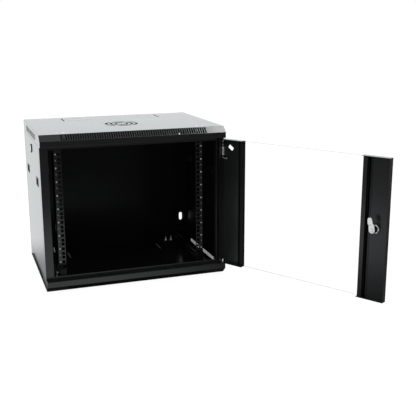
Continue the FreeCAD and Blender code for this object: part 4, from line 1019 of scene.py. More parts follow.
@dataclass
class Fitter:
    """Dresses new pieces and hangs them on the frame."""

    wardrobe: Wardrobe
    finishes: dict[str, Finish]

    def fit(self, piece: bpy.types.Object, body: str, slot: str, *nodes: str) -> None:
        """Finish a piece, let it ride on a body and hide the nodes that it stands for.

        Args:
            piece: the piece, in its place.
            body: the body that carries it.
            slot: the material slot that it takes its finish from.
            nodes: CAD nodes that it replaces.
        """
        pick(piece)
        bpy.ops.object.shade_smooth_by_angle(angle=SMOOTH)
        self.wardrobe.dress(piece, self.finishes[slot])
        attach(piece, body)
        if nodes:
            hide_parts(*nodes)
        log.info("fitted %s on %s", piece.name, body)

    def fit_copies(self, model: bpy.types.Object, places: Sequence[Matrix], node: str) -> None:
        """Put a copy of a model at each place, in the cabinet, and drop the model.

        Args:
            model: the piece at the origin.
            places: where the copies go.
            node: CAD node that they stand for.
        """
        for number, place in enumerate(places):
            twin = copy_of(model, "%s_%02d" % (model.name, number + 1))
            self.fit(seat(twin, place), "cabinet", "zinc_steel", node)
        bpy.data.objects.remove(model, do_unlink=True)


@dataclass
class FootScrews:
    """Cross-recessed screws and nuts that hold the depth brackets to the pans."""

    fitter: Fitter
    head: float = 0.0092
    shank: float = 0.0050
    length: float = 0.018
    pitch: float = 0.0008
    plain: float = 0.0016
    point: float = 0.0008
    point_share: float = 0.6
    recess: float = 0.0052
    recess_width: float = 0.0012
    recess_depth: float = 0.0018
    recess_rise: float = 0.0006
    recess_taper: Pair = (1.45, 0.5)  # at the mouth and the foot, as shares
    recess_turn: float = 20.0
    next_turn: float = 37.0
    nut_flats: float = 0.008
    nut: float = 0.004
    nut_seat: float = 0.0027
    pair_step: float = 0.020
    sides: int = 20

    def screw(self) -> bpy.types.Object:
        """Model one screw, its head's face down on the origin.

        Returns:
            The screw.
        """
        head, shank = self.head / 2, self.shank / 2
        neck = head - shank
        rings = [(head - BREAK, 0.0), (head, LEAD), (shank, neck)]
        rings += threads(shank, neck + self.plain, self.length - self.point, self.pitch)
        rings += [(shank * self.point_share, self.length)]
        piece = raised("foot_screw", rings, self.sides)
        half, wide, deep = self.recess / 2, self.recess_width / 2, self.recess_depth
        mouth, foot = self.recess_taper
        for turn in (0, 90):
            wedge = raised("driver", [(half * mouth, -self.recess_rise), (half * foot, deep)], 4)
            bar = block("bar", (-self.recess, -wide, -CLEAR), (self.recess, wide, deep + CLEAR))
            carve(wedge, bar, Join.SHARED)
            carve(piece, seat(wedge, spun(turn + self.recess_turn)))
        return piece

    def places(self) -> list[Matrix]:
        """Work out where the screws start.

        Returns:
            The places, Z pointing into the cabinet.
        """
        low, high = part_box("foot_screws")
        inset = self.head / 2
        found = []
        for side in Side:
            for across in (high.x - inset, high.x - inset - self.pair_step):
                for back in (low.y + inset, high.y - inset):
                    found.append(Matrix.Translation((side.value * across, back, low.z)))
                    found.append(Matrix.Translation((side.value * across, back, high.z))
                                 @ spun(180, "X"))
        return found

    def build(self) -> None:
        """Fit a screw and a nut at every place."""
        places = self.places()
        turned = [place @ spun(self.next_turn * number) for number, place in enumerate(places)]
        self.fitter.fit_copies(self.screw(), turned, "foot_screws")
        nut = hexagon("foot_nut", self.nut_flats, self.nut_seat, self.nut_seat + self.nut,
                      self.shank / 2, self.sides)
        self.fitter.fit_copies(nut, places, "foot_nuts")


@dataclass
class RailBolts:
    """Flanged bolts and nuts that clamp the rails to the depth brackets."""

    fitter: Fitter
    flats: float = 0.010
    flange: float = 0.013
    flange_rise: float = 0.0012
    rise: float = 0.0052
    shank: float = 0.006
    pitch: float = 0.001
    point: float = 0.0004
    point_share: float = 0.8
    grip: float = 0.003
    neck: float = 0.0047
    bed: float = 0.00048
    brim_rise: float = 0.00066
    nut_leads: Pair = (0.0005, 0.0010)  # lower and upper end of the bore
    dish: Triple = (0.0030, 0.0036, 0.0006)  # radius at the foot, at the mouth, depth
    level_step: float = 0.015
    next_turn: float = 17.0
    sides: int = 32

    def head(self, name: str, bore: float) -> bpy.types.Object:
        """Model a flanged hexagon that stands on the origin.

        Args:
            name: object name.
            bore: radius of the bore, or 0 for a bolt's head.

        Returns:
            The solid.
        """
        brim = self.flange / 2
        piece = raised(name, [(brim - BREAK, 0.0), (brim, LEAD), (brim, self.brim_rise),
                              (self.neck, self.flange_rise)], ROUND)
        carve(piece, hexagon("prism", self.flats, self.bed, self.rise), Join.ADD)
        if bore:
            return carve(piece, drill(bore, 0.0, self.rise, self.nut_leads, self.sides))
        foot, mouth, deep = self.dish
        return carve(piece, raised("dish", [(foot, self.rise - deep), (mouth, self.rise + deep)],
                                   self.sides))

    def bolt(self) -> bpy.types.Object:
        """Model one bolt: head upward, thread downward.

        Returns:
            The bolt.
        """
        piece = self.head("rail_bolt", 0.0)
        radius, tip = self.shank / 2, -(self.grip + self.rise)
        rings = [(radius * self.point_share, tip)]
        rings += threads(radius, tip + self.point, -self.grip, self.pitch)
        rings += [(radius, BREAK - self.grip), (radius, self.flange_rise / 2)]
        return carve(piece, raised("thread", rings, self.sides), Join.ADD)

    def places(self, node: str, outward: int) -> list[Matrix]:
        """Work out the seats of the bolts or nuts, Z pointing to the middle or outward.

        Args:
            node: CAD node that gives the places.
            outward: 1 if Z points outward, -1 if it points to the middle.

        Returns:
            The eight places.
        """
        low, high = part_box(node)
        back, brim = (low.y + high.y) / 2, self.flange / 2
        seat_x = high.x - self.rise if outward > 0 else high.x - self.rise - self.grip
        levels = (low.z + brim, low.z + brim + self.level_step,
                  high.z - brim - self.level_step, high.z - brim)
        return [Matrix.Translation((side.value * seat_x, back, level))
                @ spun(90 * side.value * outward, "Y") @ spun(self.next_turn * number)
                for side in Side for number, level in enumerate(levels)]

    def build(self) -> None:
        """Fit a bolt and a nut at every place."""
        self.fitter.fit_copies(self.bolt(), self.places("rail_bolts", -1), "rail_bolts")
        nut = self.head("rail_nut", self.shank / 2)
        self.fitter.fit_copies(nut, self.places("rail_nuts", 1), "rail_nuts")


@dataclass
class CamLock:
    """A cam lock: barrel, nut, turning core with a key slot, cam, and washer with screw.

    Its own Z points outward from the sheet, whose outer face is at height 0. The cam reaches
    up, leans by some degrees, and steps back from the sheet by its crank. A face radius makes
    the head's rim black outside it, and ring is the width of the head's lip round the core.
    """

    fitter: Fitter
    place: Matrix
    carrier: str
    turning: str
    nodes: dict[str, str]
    head: float
    length: float
    skin: float
    reach: float
    lean: float
    crank: float
    ring: float
    face_radius: float = 0.0
    head_rise: float = 0.0025
    thread: float = 0.019
    pitch: float = 0.0016
    bore: float = 0.0122
    core: float = 0.012
    key: Triple = (0.0016, 0.007, 0.008)  # width, length and depth of the slot
    key_dish: Pair = (0.42, 0.52)  # radius at the foot and the mouth, as shares of the slot
    nut_flats: float = 0.024
    nut: float = 0.005
    gap: float = 0.0003
    square: float = 0.007
    square_edge: float = 0.0004
    rim_round: float = 0.0011
    bore_lead: float = 0.0006
    core_lead: float = 0.0005
    thread_lead: float = 0.0012
    plate: float = 0.0025
    hub: float = 0.018
    width: float = 0.013
    crank_start: float = 0.014
    crank_run: float = 0.006
    crank_steps: int = 4
    tip_sides: int = 36
    cam_edge: float = 0.0005
    cam_play: float = 0.0001
    washer: float = 0.013
    washer_rise: float = 0.001
    screw_flats: float = 0.009
    screw_rise: float = 0.0035
    screw_bed: float = 0.0004
    sides: int = 56

    def is_painted_shade_or_black_ring(self, spot: Vector) -> bool:
        """Tell whether a barrel's face at a spot is blackened: the thread, as painted shade inside
        the nut, or the black face ring.
        """
        return spot.z < -self.skin or spot.xy.length > self.face_radius > 0

    def barrel(self) -> bpy.types.Object:
        """Turn the barrel: a rounded head on a thread, round the core's bore.

        Returns:
            The barrel.
        """
        rim, top, bore = self.head / 2, self.head_rise, self.bore / 2
        body, lead, curve = self.thread / 2, self.bore_lead, self.rim_round
        rings = [(bore, top - lead), (bore + lead, top), (bore + self.ring, top),
                 (rim - curve, top), (rim - BREAK, top - BREAK), (rim, top - curve),
                 (rim, BREAK), (rim - BREAK, 0.0), (body, 0.0)]
        rings += threads(body, -self.skin, -self.length + lead, self.pitch)
        rings += [(body - self.thread_lead, -self.length), (bore, -self.length)]
        return raised(self.nodes["barrel"] + "_turned", rings, self.sides, tube=True)

    def clamp(self) -> bpy.types.Object:
        """Make the nut behind the sheet."""
        return hexagon(self.nodes["nut"] + "_turned", self.nut_flats, -self.skin - self.nut,
                       -self.skin, self.thread / 2, self.sides)

    def core_piece(self) -> bpy.types.Object:
        """Turn the core, with its key slot and its square end.

        Returns:
            The core.
        """
        radius, top, lead = self.core / 2, self.head_rise, self.core_lead
        end = -self.length - self.gap
        piece = raised(self.nodes["core"] + "_turned", [
            (radius, end), (radius, top - lead), (radius - lead, top)], FINE_ROUND)
        half = self.square / 2
        carve(piece, block("square", (-half, -half, end - self.plate),
                           (half, half, end + CLEAR), self.square_edge), Join.ADD)
        wide, tall, deep = self.key
        carve(piece, block("key", (-wide / 2, -tall / 2, top - deep),
                           (wide / 2, tall / 2, top + CLEAR)))
        foot, mouth = self.key_dish
        dish = [(tall * foot, top - lead), (tall * mouth, top + BREAK)]
        return carve(piece, raised("dish", dish, ROUND))

    def cam(self) -> bpy.types.Object:
        """Press the cam: a tapering tongue with a square hole and, on a door, a crank.

        Returns:
            The cam.
        """
        top = -self.length - self.gap
        tip = self.width / 2
        deselect()
        bpy.ops.mesh.primitive_circle_add(vertices=FINE_ROUND, radius=self.hub / 2,
                                          fill_type="NGON", location=(0, 0, top - self.plate))
        piece = bpy.context.object
        piece.name = self.nodes["cam"] + "_pressed"
        bpy.ops.object.mode_set(mode="EDIT")
        bpy.ops.mesh.primitive_circle_add(vertices=self.tip_sides, radius=tip, fill_type="NGON",
                                          location=(0, self.reach - tip, top - self.plate))
        bpy.ops.mesh.select_all(action="SELECT")
        bpy.ops.mesh.extrude_region_move(TRANSFORM_OT_translate={"value": (0, 0, self.plate)})
        bpy.ops.mesh.select_all(action="SELECT")
        bpy.ops.mesh.convex_hull()
        bpy.ops.object.mode_set(mode="OBJECT")
        seat(piece)
        steps = self.crank_steps if self.crank else 0
        for step in range(steps + 1):
            line = self.crank_start + self.crank_run * step / max(steps, 1)
            choose(piece, lambda spot: True)
            bpy.ops.mesh.bisect(plane_co=(0, line, 0), plane_no=(0, 1, 0))
            bpy.ops.object.mode_set(mode="OBJECT")
            if step:
                choose(piece, lambda spot: spot.y > line - 10 * TINY)
                bpy.ops.transform.translate(value=(0, 0, -self.crank / steps))
                bpy.ops.object.mode_set(mode="OBJECT")
        soften(piece, self.cam_edge)
        half = self.square / 2 + self.cam_play
        hole = block("hole", (-half, -half, top - 2 * self.plate), (half, half, top + self.plate))
        return carve(seat(piece, spun(-self.lean)), hole)

    def screw(self) -> bpy.types.Object:
        """Make the washer and the hexagon screw under it.

        Returns:
            The two as one solid.
        """
        top = -self.length - self.gap - self.plate
        low, brim = top - self.washer_rise, self.washer / 2
        rings = [(brim - LEAD, low), (brim, low + LEAD), (brim, top - LEAD), (brim - LEAD, top)]
        piece = raised(self.nodes["screw"] + "_turned", rings, ROUND)
        return carve(piece, hexagon("screw_head", self.screw_flats, low - self.screw_rise,
                                    low + self.screw_bed), Join.ADD)

    def build(self) -> None:
        """Make the five pieces and fit them in their place."""
        makers = {"barrel": self.barrel, "nut": self.clamp, "core": self.core_piece,
                  "cam": self.cam, "screw": self.screw}
        for kind, make in makers.items():
            body = self.carrier if kind in ("barrel", "nut") else self.turning
            slot = "zinc_steel" if kind == "screw" else "chrome"
            piece = make()
            # faces that take black plastic: the thread, as painted shade inside the nut, and the
            # black face ring
            dark = [face.index for face in piece.data.polygons if self.is_painted_shade_or_black_ring(face.center)]
            self.fitter.fit(seat(piece, self.place), body, slot, self.nodes[kind])
            if kind == "barrel":
                # black plastic on the thread is painted shade inside the nut; on a face ring it is
                # the ring's own black
                piece.data.materials.append(self.fitter.wardrobe.get(Finish.PLASTIC))
                for index in dark:
                    piece.data.polygons[index].material_index = 1


@dataclass
class Pins:
    """The sprung top hinge pin, its collar and spring, and the fixed lower pin and washer."""

    fitter: Fitter
    axis: Pair
    handle_way: Triple
    radius: float = 0.0025
    tip_lead: float = 0.0010
    tip_share: float = 0.6
    tip: float = 0.4702
    handle_height: float = 0.397
    elbow: float = 0.006
    handle: float = 0.017
    handle_end: tuple[Pair, ...] = ((0.0005, 0.86), (0.0003, 0.6))  # run, share of what is left
    collar: Triple = (0.0045, 0.4310, 0.4326)  # radius, foot and top; low_head, washer too
    groove: float = 0.00025
    groove_run: Pair = (0.0009, 0.0012)  # end of its floor and of its slope, over the collar
    low_head: Triple = (0.0045, 0.0338, 0.0358)
    low_dome: tuple[Pair, ...] = ((0.55, 0.0), (0.85, 0.0005), (1.0, 0.0012))  # share, rise
    low_tip: float = 0.050
    low_tip_lead: Pair = (0.55, 0.0012)  # share of the radius, length
    washer: Triple = (0.0055, 0.0370, 0.0393)
    washer_bore: float = 0.0028
    spring_wire: float = 0.0009
    spring_turns: int = 7
    travel: float = 0.012
    sides: int = 24
    elbow_steps: int = 10
    wire_sides: int = 12
    coil_steps: int = 28

    def place(self) -> Matrix:
        """Return the hinge line's place, with X along the handle."""
        return facing((*self.axis, 0), self.handle_way, UP.cross(Vector(self.handle_way)))

    def sprung(self) -> bpy.types.Object:
        """Bend the sprung pin: chamfered tip, shank, elbow and rounded handle.

        Returns:
            The pin.
        """
        radius, bend = self.radius, self.handle_height + self.elbow
        low, high = self.collar[1:]
        neck, (flat, end) = radius - self.groove, self.groove_run
        rings = [(radius * self.tip_share, self.tip), (radius, self.tip - self.tip_lead),
                 (radius, high + end), (neck, high + flat), (neck, high),
                 (radius, high - BREAK), (radius, low), (radius, bend)]
        piece = raised("sprung_pin_bent", rings, self.sides)
        choose(piece, lambda spot: abs(spot.z - bend) < TINY)
        bpy.ops.mesh.select_mode(type="FACE")
        bpy.ops.mesh.spin(steps=self.elbow_steps, angle=math.radians(90),
                          center=(self.elbow, 0, bend), axis=(0, 1, 0))
        straight = self.handle - self.elbow - sum(run for run, _ in self.handle_end)
        for run, share in ((straight, 1.0), *self.handle_end):
            bpy.ops.mesh.extrude_region_move(TRANSFORM_OT_translate={"value": (run, 0, 0)})
            bpy.ops.transform.resize(value=(1, share, share),
                                     center_override=(0, 0, self.handle_height))
        return close(piece)

    def ring(self, name: str, outer: float, inner: float, low: float,
             high: float) -> bpy.types.Object:
        """Turn a flat ring with broken edges.

        Args:
            name: object name.
            outer: outside radius.
            inner: bore radius.
            low: height of the lower face.
            high: height of the upper face.

        Returns:
            The ring.
        """
        rings = [(inner, low + LEAD), (inner + LEAD, low), (outer - LEAD, low),
                 (outer, low + LEAD), (outer, high - LEAD), (outer - LEAD, high),
                 (inner + LEAD, high), (inner, high - LEAD)]
        return raised(name, rings, FINE_ROUND, tube=True)

    def fixed(self) -> bpy.types.Object:
        """Turn the fixed pin: domed head under the ledge, shank and chamfered tip.

        Returns:
            The pin.
        """
        head, low, high = self.low_head
        share, lead = self.low_tip_lead
        rings = [(head * part, low + rise) for part, rise in self.low_dome]
        rings += [(head, high - LEAD), (head - LEAD, high), (self.radius, high),
                  (self.radius, self.low_tip - lead), (self.radius * share, self.low_tip)]
        return raised("fixed_pin_turned", rings, ROUND)

    def spring(self) -> bpy.types.Object:
        """Wind the spring over the whole height between the lower ear and the collar.

        Returns:
            The spring.
        """
        low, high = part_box("pin_spring")
        wire = self.spring_wire / 2
        deselect()
        bpy.ops.mesh.primitive_circle_add(
            vertices=self.wire_sides, radius=wire, location=((high.x - low.x) / 2 - wire, 0, wire),
            rotation=(math.radians(90), 0, 0))
        piece = bpy.context.object
        piece.name = "pin_spring_wound"
        bpy.ops.object.transform_apply(location=True, rotation=True, scale=True)
        coil = piece.modifiers.new("coil", "SCREW")
        coil.angle = math.radians(360)
        coil.screw_offset = (high.z - low.z - self.spring_wire) / self.spring_turns
        coil.iterations = self.spring_turns
        coil.steps = coil.render_steps = self.coil_steps
        pick(piece)
        bpy.ops.object.modifier_apply(modifier="coil")
        bpy.ops.object.mode_set(mode="EDIT")
        bpy.ops.mesh.select_all(action="SELECT")
        bpy.ops.mesh.fill_holes(sides=0)
        return seat(close(piece), Matrix.Translation(((low.x + high.x) / 2,
                                                      (low.y + high.y) / 2, low.z)))

    def build(self) -> None:
        """Make the pins, rings and spring and fit them on the hinge line."""
        place = self.place()
        fit = self.fitter.fit
        sprung = seat(self.sprung(), place)
        fit(sprung, "hinge_pin", "zinc_steel", "sprung_pin")
        self.fitter.wardrobe.dress(sprung, Finish.DRAWN)
        outer, low, high = self.collar
        collar = self.ring("pin_collar_turned", outer, self.radius - self.groove, low, high)
        fit(seat(collar, place), "hinge_pin", "zinc_steel", "pin_collar")
        fit(seat(self.fixed(), place), "cabinet", "zinc_steel", "fixed_pin")
        outer, low, high = self.washer
        washer = self.ring("pin_washer_turned", outer, self.washer_bore, low, high)
        fit(seat(washer, place), "cabinet", "zinc_steel", "pin_washer")
        low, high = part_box("pin_spring")
        spring = self.spring()
        fit(spring, "door", "zinc_steel", "pin_spring")
        1 - self.travel / (high.z - low.z)
        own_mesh(spring)


@dataclass
class WeldSeams:
    """The weld beads that close the joints between the rear panel and the rear posts."""

    fitter: Fitter
    radius: float = 0.0005
    end_radius: float = 0.0003
    ripple: float = 0.00005
    ripple_step: float = 0.004
    centre: Pair = (0.27035, 0.2245)  # from the middle, and back
    span: Pair = (0.0375, 0.4635)
    sides: int = 10

    def build(self) -> None:
        """Lay a rippled bead up each joint."""
        low, high = self.span
        count = round((high - low) / self.ripple_step)
        rings = [(self.end_radius, low)]
        for number in range(1, count):
            swell = self.ripple * (number % 2)
            rings.append((self.radius - swell, low + (high - low) * number / count))
        rings.append((self.end_radius, high))
        across, back = self.centre
        for side in Side:
            bead = raised("rear_seam_" + side.word, rings, self.sides)
            seat(bead, Matrix.Translation((side.value * across, back, 0)))
            self.fitter.fit(bead, "cabinet", "black_steel")


@dataclass
class Pane:
    """The toughened pane, with ground edges."""

    fitter: Fitter
    place: Matrix
    near: float = 0.0742
    far: float = 0.5170
    low: float = 0.0411
    high: float = 0.4599
    back: float = 0.0005
    front: float = 0.0055
    arris: float = 0.0007
    corner: float = 0.003
    corner_steps: int = 6
    flat: float = 0.95

    def build(self) -> None:
        """Cut the pane, grind its edges and give them their own finish."""
        piece = block("glass_pane", (-self.far, self.low, self.back),
                      (-self.near, self.high, self.front))
        middle = (self.back + self.front) / 2
        pick(piece)
        bpy.ops.object.mode_set(mode="EDIT")
        bpy.ops.mesh.select_mode(type="EDGE")
        bpy.ops.mesh.select_all(action="DESELECT")
        bpy.ops.object.mode_set(mode="OBJECT")
        for edge in piece.data.edges:
            first, last = (piece.data.vertices[index].co for index in edge.vertices)
            edge.select = abs((first.z + last.z) / 2 - middle) < TINY
        bpy.ops.object.mode_set(mode="EDIT")
        bpy.ops.mesh.bevel(offset=self.corner, segments=self.corner_steps)
        bpy.ops.object.mode_set(mode="OBJECT")
        soften(piece, self.arris, 1)
        seat(piece, self.place)
        self.fitter.fit(piece, "door", "clear_glass", "door_glass")
        piece.data.materials.append(self.fitter.wardrobe.get(Finish.GLASS_EDGE))
        outward = self.place.to_3x3() @ UP
        for face in piece.data.polygons:
            if abs(face.normal.dot(outward)) < self.flat:
                face.material_index = 1


@dataclass
class Latches:
    """The four latches of the side panels: moulded boxes and slides with a thumb well."""

    fitter: Fitter
    plate: Triple = (0.042, 0.027, 0.0012)  # length, height and depth; case too
    case: Triple = (0.037, 0.022, 0.012)
    skin: float = 0.0015
    gap: float = 0.0003
    travel: float = 0.011
    tongue: Triple = (0.0637, 0.009, 0.003)  # reach, width and thickness
    well_wall: float = 0.0018
    well_floor: float = 0.0024
    rib: Pair = (0.003, 0.0015)  # width, and how far it stays below the top
    rib_foot: float = 0.0004
    round_off: float = 0.0006
    case_edge: float = 0.0004
    well_edge: float = 0.0008
    rib_edge: float = 0.0007
    tongue_edge: float = 0.0005

    def box(self, name: str) -> bpy.types.Object:
        """Mould a box: tongue toward +X, outward +Z, the sheet's outer face at height 0.

        Args:
            name: object name.

        Returns:
            The box.
        """
        long, tall, deep = self.case
        rim_long, rim_tall, rim = self.plate
        skin, gap = self.skin, self.gap
        piece = block(name, (-rim_long / 2, -rim_tall / 2, 0.0),
                      (rim_long / 2, rim_tall / 2, rim), self.round_off)
        carve(piece, block("case", (-long / 2, -tall / 2, -deep),
                           (long / 2, tall / 2, rim / 2), self.case_edge), Join.ADD)
        window = (long / 2 - 2 * skin, tall / 2 - skin - gap)
        carve(piece, block("window", (-window[0], -window[1], -skin - CLEAR),
                           (window[0], window[1], rim + CLEAR)))
        room = (long / 2 - skin, tall / 2 - skin)
        carve(piece, block("room", (-room[0], -room[1], skin - deep), (room[0], room[1], -skin)))
        level = skin + 2 * gap
        half = self.tongue[1] / 2 + gap
        carve(piece, block("port", (room[0] - CLEAR, -half, -level - self.tongue[2] - 2 * gap),
                           (long / 2 + CLEAR, half, -level)))
        return piece

    def slide(self, name: str) -> bpy.types.Object:
        """Mould a slide, drawn back: block, thumb well with a rib, and tongue.

        Args:
            name: object name.

        Returns:
            The slide.
        """
        long, tall, deep = self.case
        skin, gap, wall = self.skin, self.gap, self.well_wall
        half_long = (long - 2 * skin - 2 * gap - self.travel) / 2
        half_tall = tall / 2 - skin - gap
        top, bottom = -skin - gap, skin + gap - deep
        middle = -self.travel / 2
        piece = block(name, (middle - half_long, -half_tall, bottom),
                      (middle + half_long, half_tall, top), self.round_off)
        carve(piece, block("well", (middle - half_long + wall, wall - half_tall,
                                    bottom + self.well_floor),
                           (middle + half_long - wall, half_tall - wall, top + CLEAR),
                           self.well_edge))
        half_rib, drop = self.rib[0] / 2, self.rib[1]
        carve(piece, block("rib", (middle - half_rib, wall / 2 - half_tall,
                                   bottom + self.rib_foot),
                           (middle + half_rib, half_tall - wall / 2, top - drop),
                           self.rib_edge), Join.ADD)
        reach, wide, thick = self.tongue
        level = -skin - 3 * gap
        carve(piece, block("tongue", (middle + half_long - wall / 2, -wide / 2, level - thick),
                           (reach, wide / 2, level), self.tongue_edge), Join.ADD)
        return piece

    def build(self) -> None:
        """Copy the box and the slide to the four places."""
        models = {"latch_box": self.box("latch_box"), "latch_slide": self.slide("latch_slide")}
        for side in Side:
            for end, way in (("front", -1), ("rear", 1)):
                ending = "%s_%s" % (end, side.word)
                low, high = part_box("latch_box_" + ending)
                surface = low.x + self.plate[2] if side is Side.LEFT else high.x - self.plate[2]
                spot = (surface, (low.y + high.y) / 2, (low.z + high.z) / 2)
                tongue = Vector((0, way, 0))
                place = facing(spot, tongue, Vector((side.value, 0, 0)).cross(tongue))
                bodies = {"latch_box": "side_panel_" + side.word, "latch_slide": "latch_" + ending}
                for kind, model in models.items():
                    node, body = "%s_%s" % (kind, ending), bodies[kind]
                    twin = seat(copy_of(model, node + "_moulded"), place)
                    self.fitter.fit(twin, body, "black_plastic", node)
        for model in models.values():
            bpy.data.objects.remove(model, do_unlink=True)


@dataclass
class Hardware:
    """All the small pieces, placed by the door's opening and the record's joints."""

    fitter: Fitter
    joints: dict[str, dict]
    sheet: float = 0.0012
    panel_sheet: float = 0.001
    sheet_to_joint: float = 0.010

    def lock(self, joint: str, outward: Vector, pattern: str, bodies: tuple[str, str],
             **sizes: float) -> CamLock:
        """Set up a cam lock in its place.

        Args:
            joint: the joint that its core turns on.
            outward: direction that its face looks in.
            pattern: names of its CAD nodes, with %s for the piece.
            bodies: the bodies that carry the barrel and the core.
            **sizes: the sizes of this lock.

        Returns:
            The lock.
        """
        spot = Vector(self.joints[joint]["pos_m"]) + outward * self.sheet_to_joint
        nodes = {kind: pattern % kind for kind in ("barrel", "nut", "core", "cam", "screw")}
        return CamLock(self.fitter, facing(spot, UP.cross(outward), UP), *bodies, nodes, **sizes)

    def build(self) -> None:
        """Make every small piece."""
        hinge = self.joints["door_hinge"]["pos_m"]
        outward = Vector(self.joints["door_lock_turn"]["axis"])
        right = UP.cross(outward)
        FootScrews(self.fitter).build()
        RailBolts(self.fitter).build()
        WeldSeams(self.fitter).build()
        self.lock("door_lock_turn", outward, "door_lock_%s", ("door", "door_lock"),
                  head=0.023, length=0.020, skin=self.sheet, reach=0.038, lean=8.0,
                  crank=0.006, ring=0.0022).build()
        for side in Side:
            word = side.word
            self.lock("side_lock_%s_turn" % word, Vector((side.value, 0, 0)),
                      "side_lock_%s_" + word, ("side_panel_" + word, "side_lock_" + word),
                      head=0.029, length=0.015, skin=self.panel_sheet, reach=0.032,
                      lean=90.0 * side.value, crank=0.0, ring=0.0045,
                      face_radius=0.0098).build()
        Pins(self.fitter, (hinge[0], hinge[1]), tuple(-right)).build()
        Pane(self.fitter, facing((hinge[0], hinge[1], 0), right, UP)).build()
        Latches(self.fitter).build()


# ------------------------------------------------------------------ studio

@dataclass
class SoftLamp:
    """A rectangular lamp aimed at a point."""

    name: str
    spot: Triple
    aim: Triple
    size: Pair
    radiance: float

    def make(self) -> bpy.types.Object:
        """Add the lamp.

        Returns:
            The lamp.
        """
        data = bpy.data.lights.new(self.name, "AREA")
        data.shape = "RECTANGLE"
        data.size, data.size_y = self.size
        data.energy = self.radiance * math.pi * self.size[0] * self.size[1]
        lamp = bpy.data.objects.new(self.name, data)
        bpy.context.scene.collection.objects.link(lamp)
        way = Vector(self.aim) - Vector(self.spot)
        lamp.matrix_world = Matrix.Translation(Vector(self.spot)) @ \
            way.to_track_quat("-Z", "Y").to_matrix().to_4x4()
        lamp.visible_camera = False
        return lamp


@dataclass
class Studio:
    """White floor and sky, soft lamps, and for gloss a studio pale behind and dim in front."""

    floor_size: float = 60.0
    floor_drop: float = 0.0006
    paper: Grain = (3.0, 3.0)
    paper_shade: float = 0.99
    floor_white: Colour = (0.80, 0.80, 0.80)
    floor_lift: Colour = (1.07, 1.07, 1.07)
    lift_share: float = 0.88
    mirror_back: Colour = (0.97, 1.0, 1.0)
    mirror_near: Colour = (0.38, 0.39, 0.40)
    mirror_far: Colour = (0.07, 0.07, 0.075)
    mirror_fade: Pair = (0.65, 1.5)
    mirror_aside: Pair = (-0.2, 0.5)
    mirror_turn: Pair = (0.05, 0.45)
    # painted shadow: colour of the floor under the cabinet, for the eye and for gloss
    under: Colour = (0.02, 0.02, 0.02)
    # boxes of the painted shadow: half width, front and rear; the second one for gloss
    painted_shadow_box: Triple = (0.30, -0.204, 0.225)
    painted_shadow_box_gloss: Triple = (0.31, -0.235, 0.235)
    sky_fill: Colour = (1.0, 1.0, 1.0)
    sky_front: Colour = (0.05, 0.052, 0.054)
    sky_back: Colour = (0.74, 0.78, 0.78)
    sky_turn: Pair = (-0.35, 0.6)
    white: Colour = (1.0, 1.0, 1.0)
    lamps: list[SoftLamp] = field(default_factory=lambda: [
        SoftLamp("back_lamp", (1.3, 3.4, 1.7), (0.0, 0.0, 0.4), (4.5, 2.4), 0.3),
        SoftLamp("left_lamp", (-2.6, 2.2, 0.9), (0.0, 0.0, 0.2), (3.0, 2.2), 0.6),
        SoftLamp("key_lamp", (1.5, -0.1, 2.35), (0.1, -0.1, 0.3), (0.6, 1.2), 5.9),
    ])

    def build(self) -> None:
        """Add the floor, the lamps and the world."""
        self._floor()
        for lamp in self.lamps:
            lamp.make()
        self._world()

    def _mirrored(self, look: Look) -> Wire:
        """Colour the floor for gloss: bright behind, dim in front and far away, with a painted
        shadow under the cabinet.

        Args:
            look: the material's builder.

        Returns:
            The colour.
        """
        across, back, _ = look.axes(look.place())
        away = (across * across + back * back) ** 0.5
        near = look.blend(away.ramp(*self.mirror_fade), self.mirror_near, self.mirror_far)
        near = look.blend(across.ramp(*self.mirror_aside), near, self.mirror_far)
        lit = look.blend(back.ramp(*self.mirror_turn), near, self.mirror_back)
        # painted shadow in the floor's gloss under the cabinet
        return look.blend(self._painted_shadow_mask(look, self.painted_shadow_box_gloss), lit, self.under)

    @staticmethod
    def _painted_shadow_mask(look: Look, painted_shadow_box: Triple) -> Wire:
        """Mark the floor under the cabinet, where its shadow is painted.

        Args:
            look: the material's builder.
            painted_shadow_box: half width, front and rear.

        Returns:
            1 there, else 0.
        """
        across, back, _ = look.axes(look.place())
        side, front, rear = painted_shadow_box
        return abs(across).below(side) * back.above(front) * back.below(rear)

    def _floor(self) -> None:
        """Add the floor, white for the eye with the object's shadow kept and a painted shadow
        under the cabinet.
        """
        deselect()
        bpy.ops.mesh.primitive_plane_add(size=self.floor_size, location=(0, 0, -self.floor_drop))
        floor = bpy.context.object
        floor.name = "studio_floor"
        bpy.ops.object.transform_apply(location=True, rotation=True, scale=True)
        material, look = new_material("white_floor")
        eye, gloss = look.rays()
        shade = tuple(value * self.paper_shade for value in self.floor_white)
        paper = look.blend(look.noise(look.place(), *self.paper), self.floor_white, shade)
        # the lift turns to painted shadow under the cabinet
        lift = look.blend(self._painted_shadow_mask(look, self.painted_shadow_box), self.floor_lift, self.under)
        matt = look.node("ShaderNodeBsdfDiffuse", None, {"Color": paper})
        lift, mirror = (look.node("ShaderNodeEmission", None, {"Color": colour})
                        for colour in (lift, self._mirrored(look)))
        seen = look.mix(eye, matt, look.mix(self.lift_share, matt, lift))
        finish_surface(look, look.mix(gloss * (1 - eye), seen, mirror))
        floor.data.materials.append(material)

    def _world(self) -> None:
        """Add the world: white for the eye, and for gloss pale behind and dim in front."""
        world = bpy.data.worlds.new("studio_world")
        bpy.context.scene.world = world
        world.use_nodes = True
        look = Look(world.node_tree)
        eye, gloss = look.rays()
        _, back, _ = look.axes(look.node("ShaderNodeTexCoord", output="Generated"))
        mirrored = look.blend(back.ramp(*self.sky_turn), self.sky_front, self.sky_back)
        colour = look.blend(gloss, self.sky_fill, mirrored)
        sky = look.node("ShaderNodeBackground", None,
                        {"Color": look.blend(eye, colour, self.white)})
        look.node("ShaderNodeOutputWorld", None, {"Surface": sky})


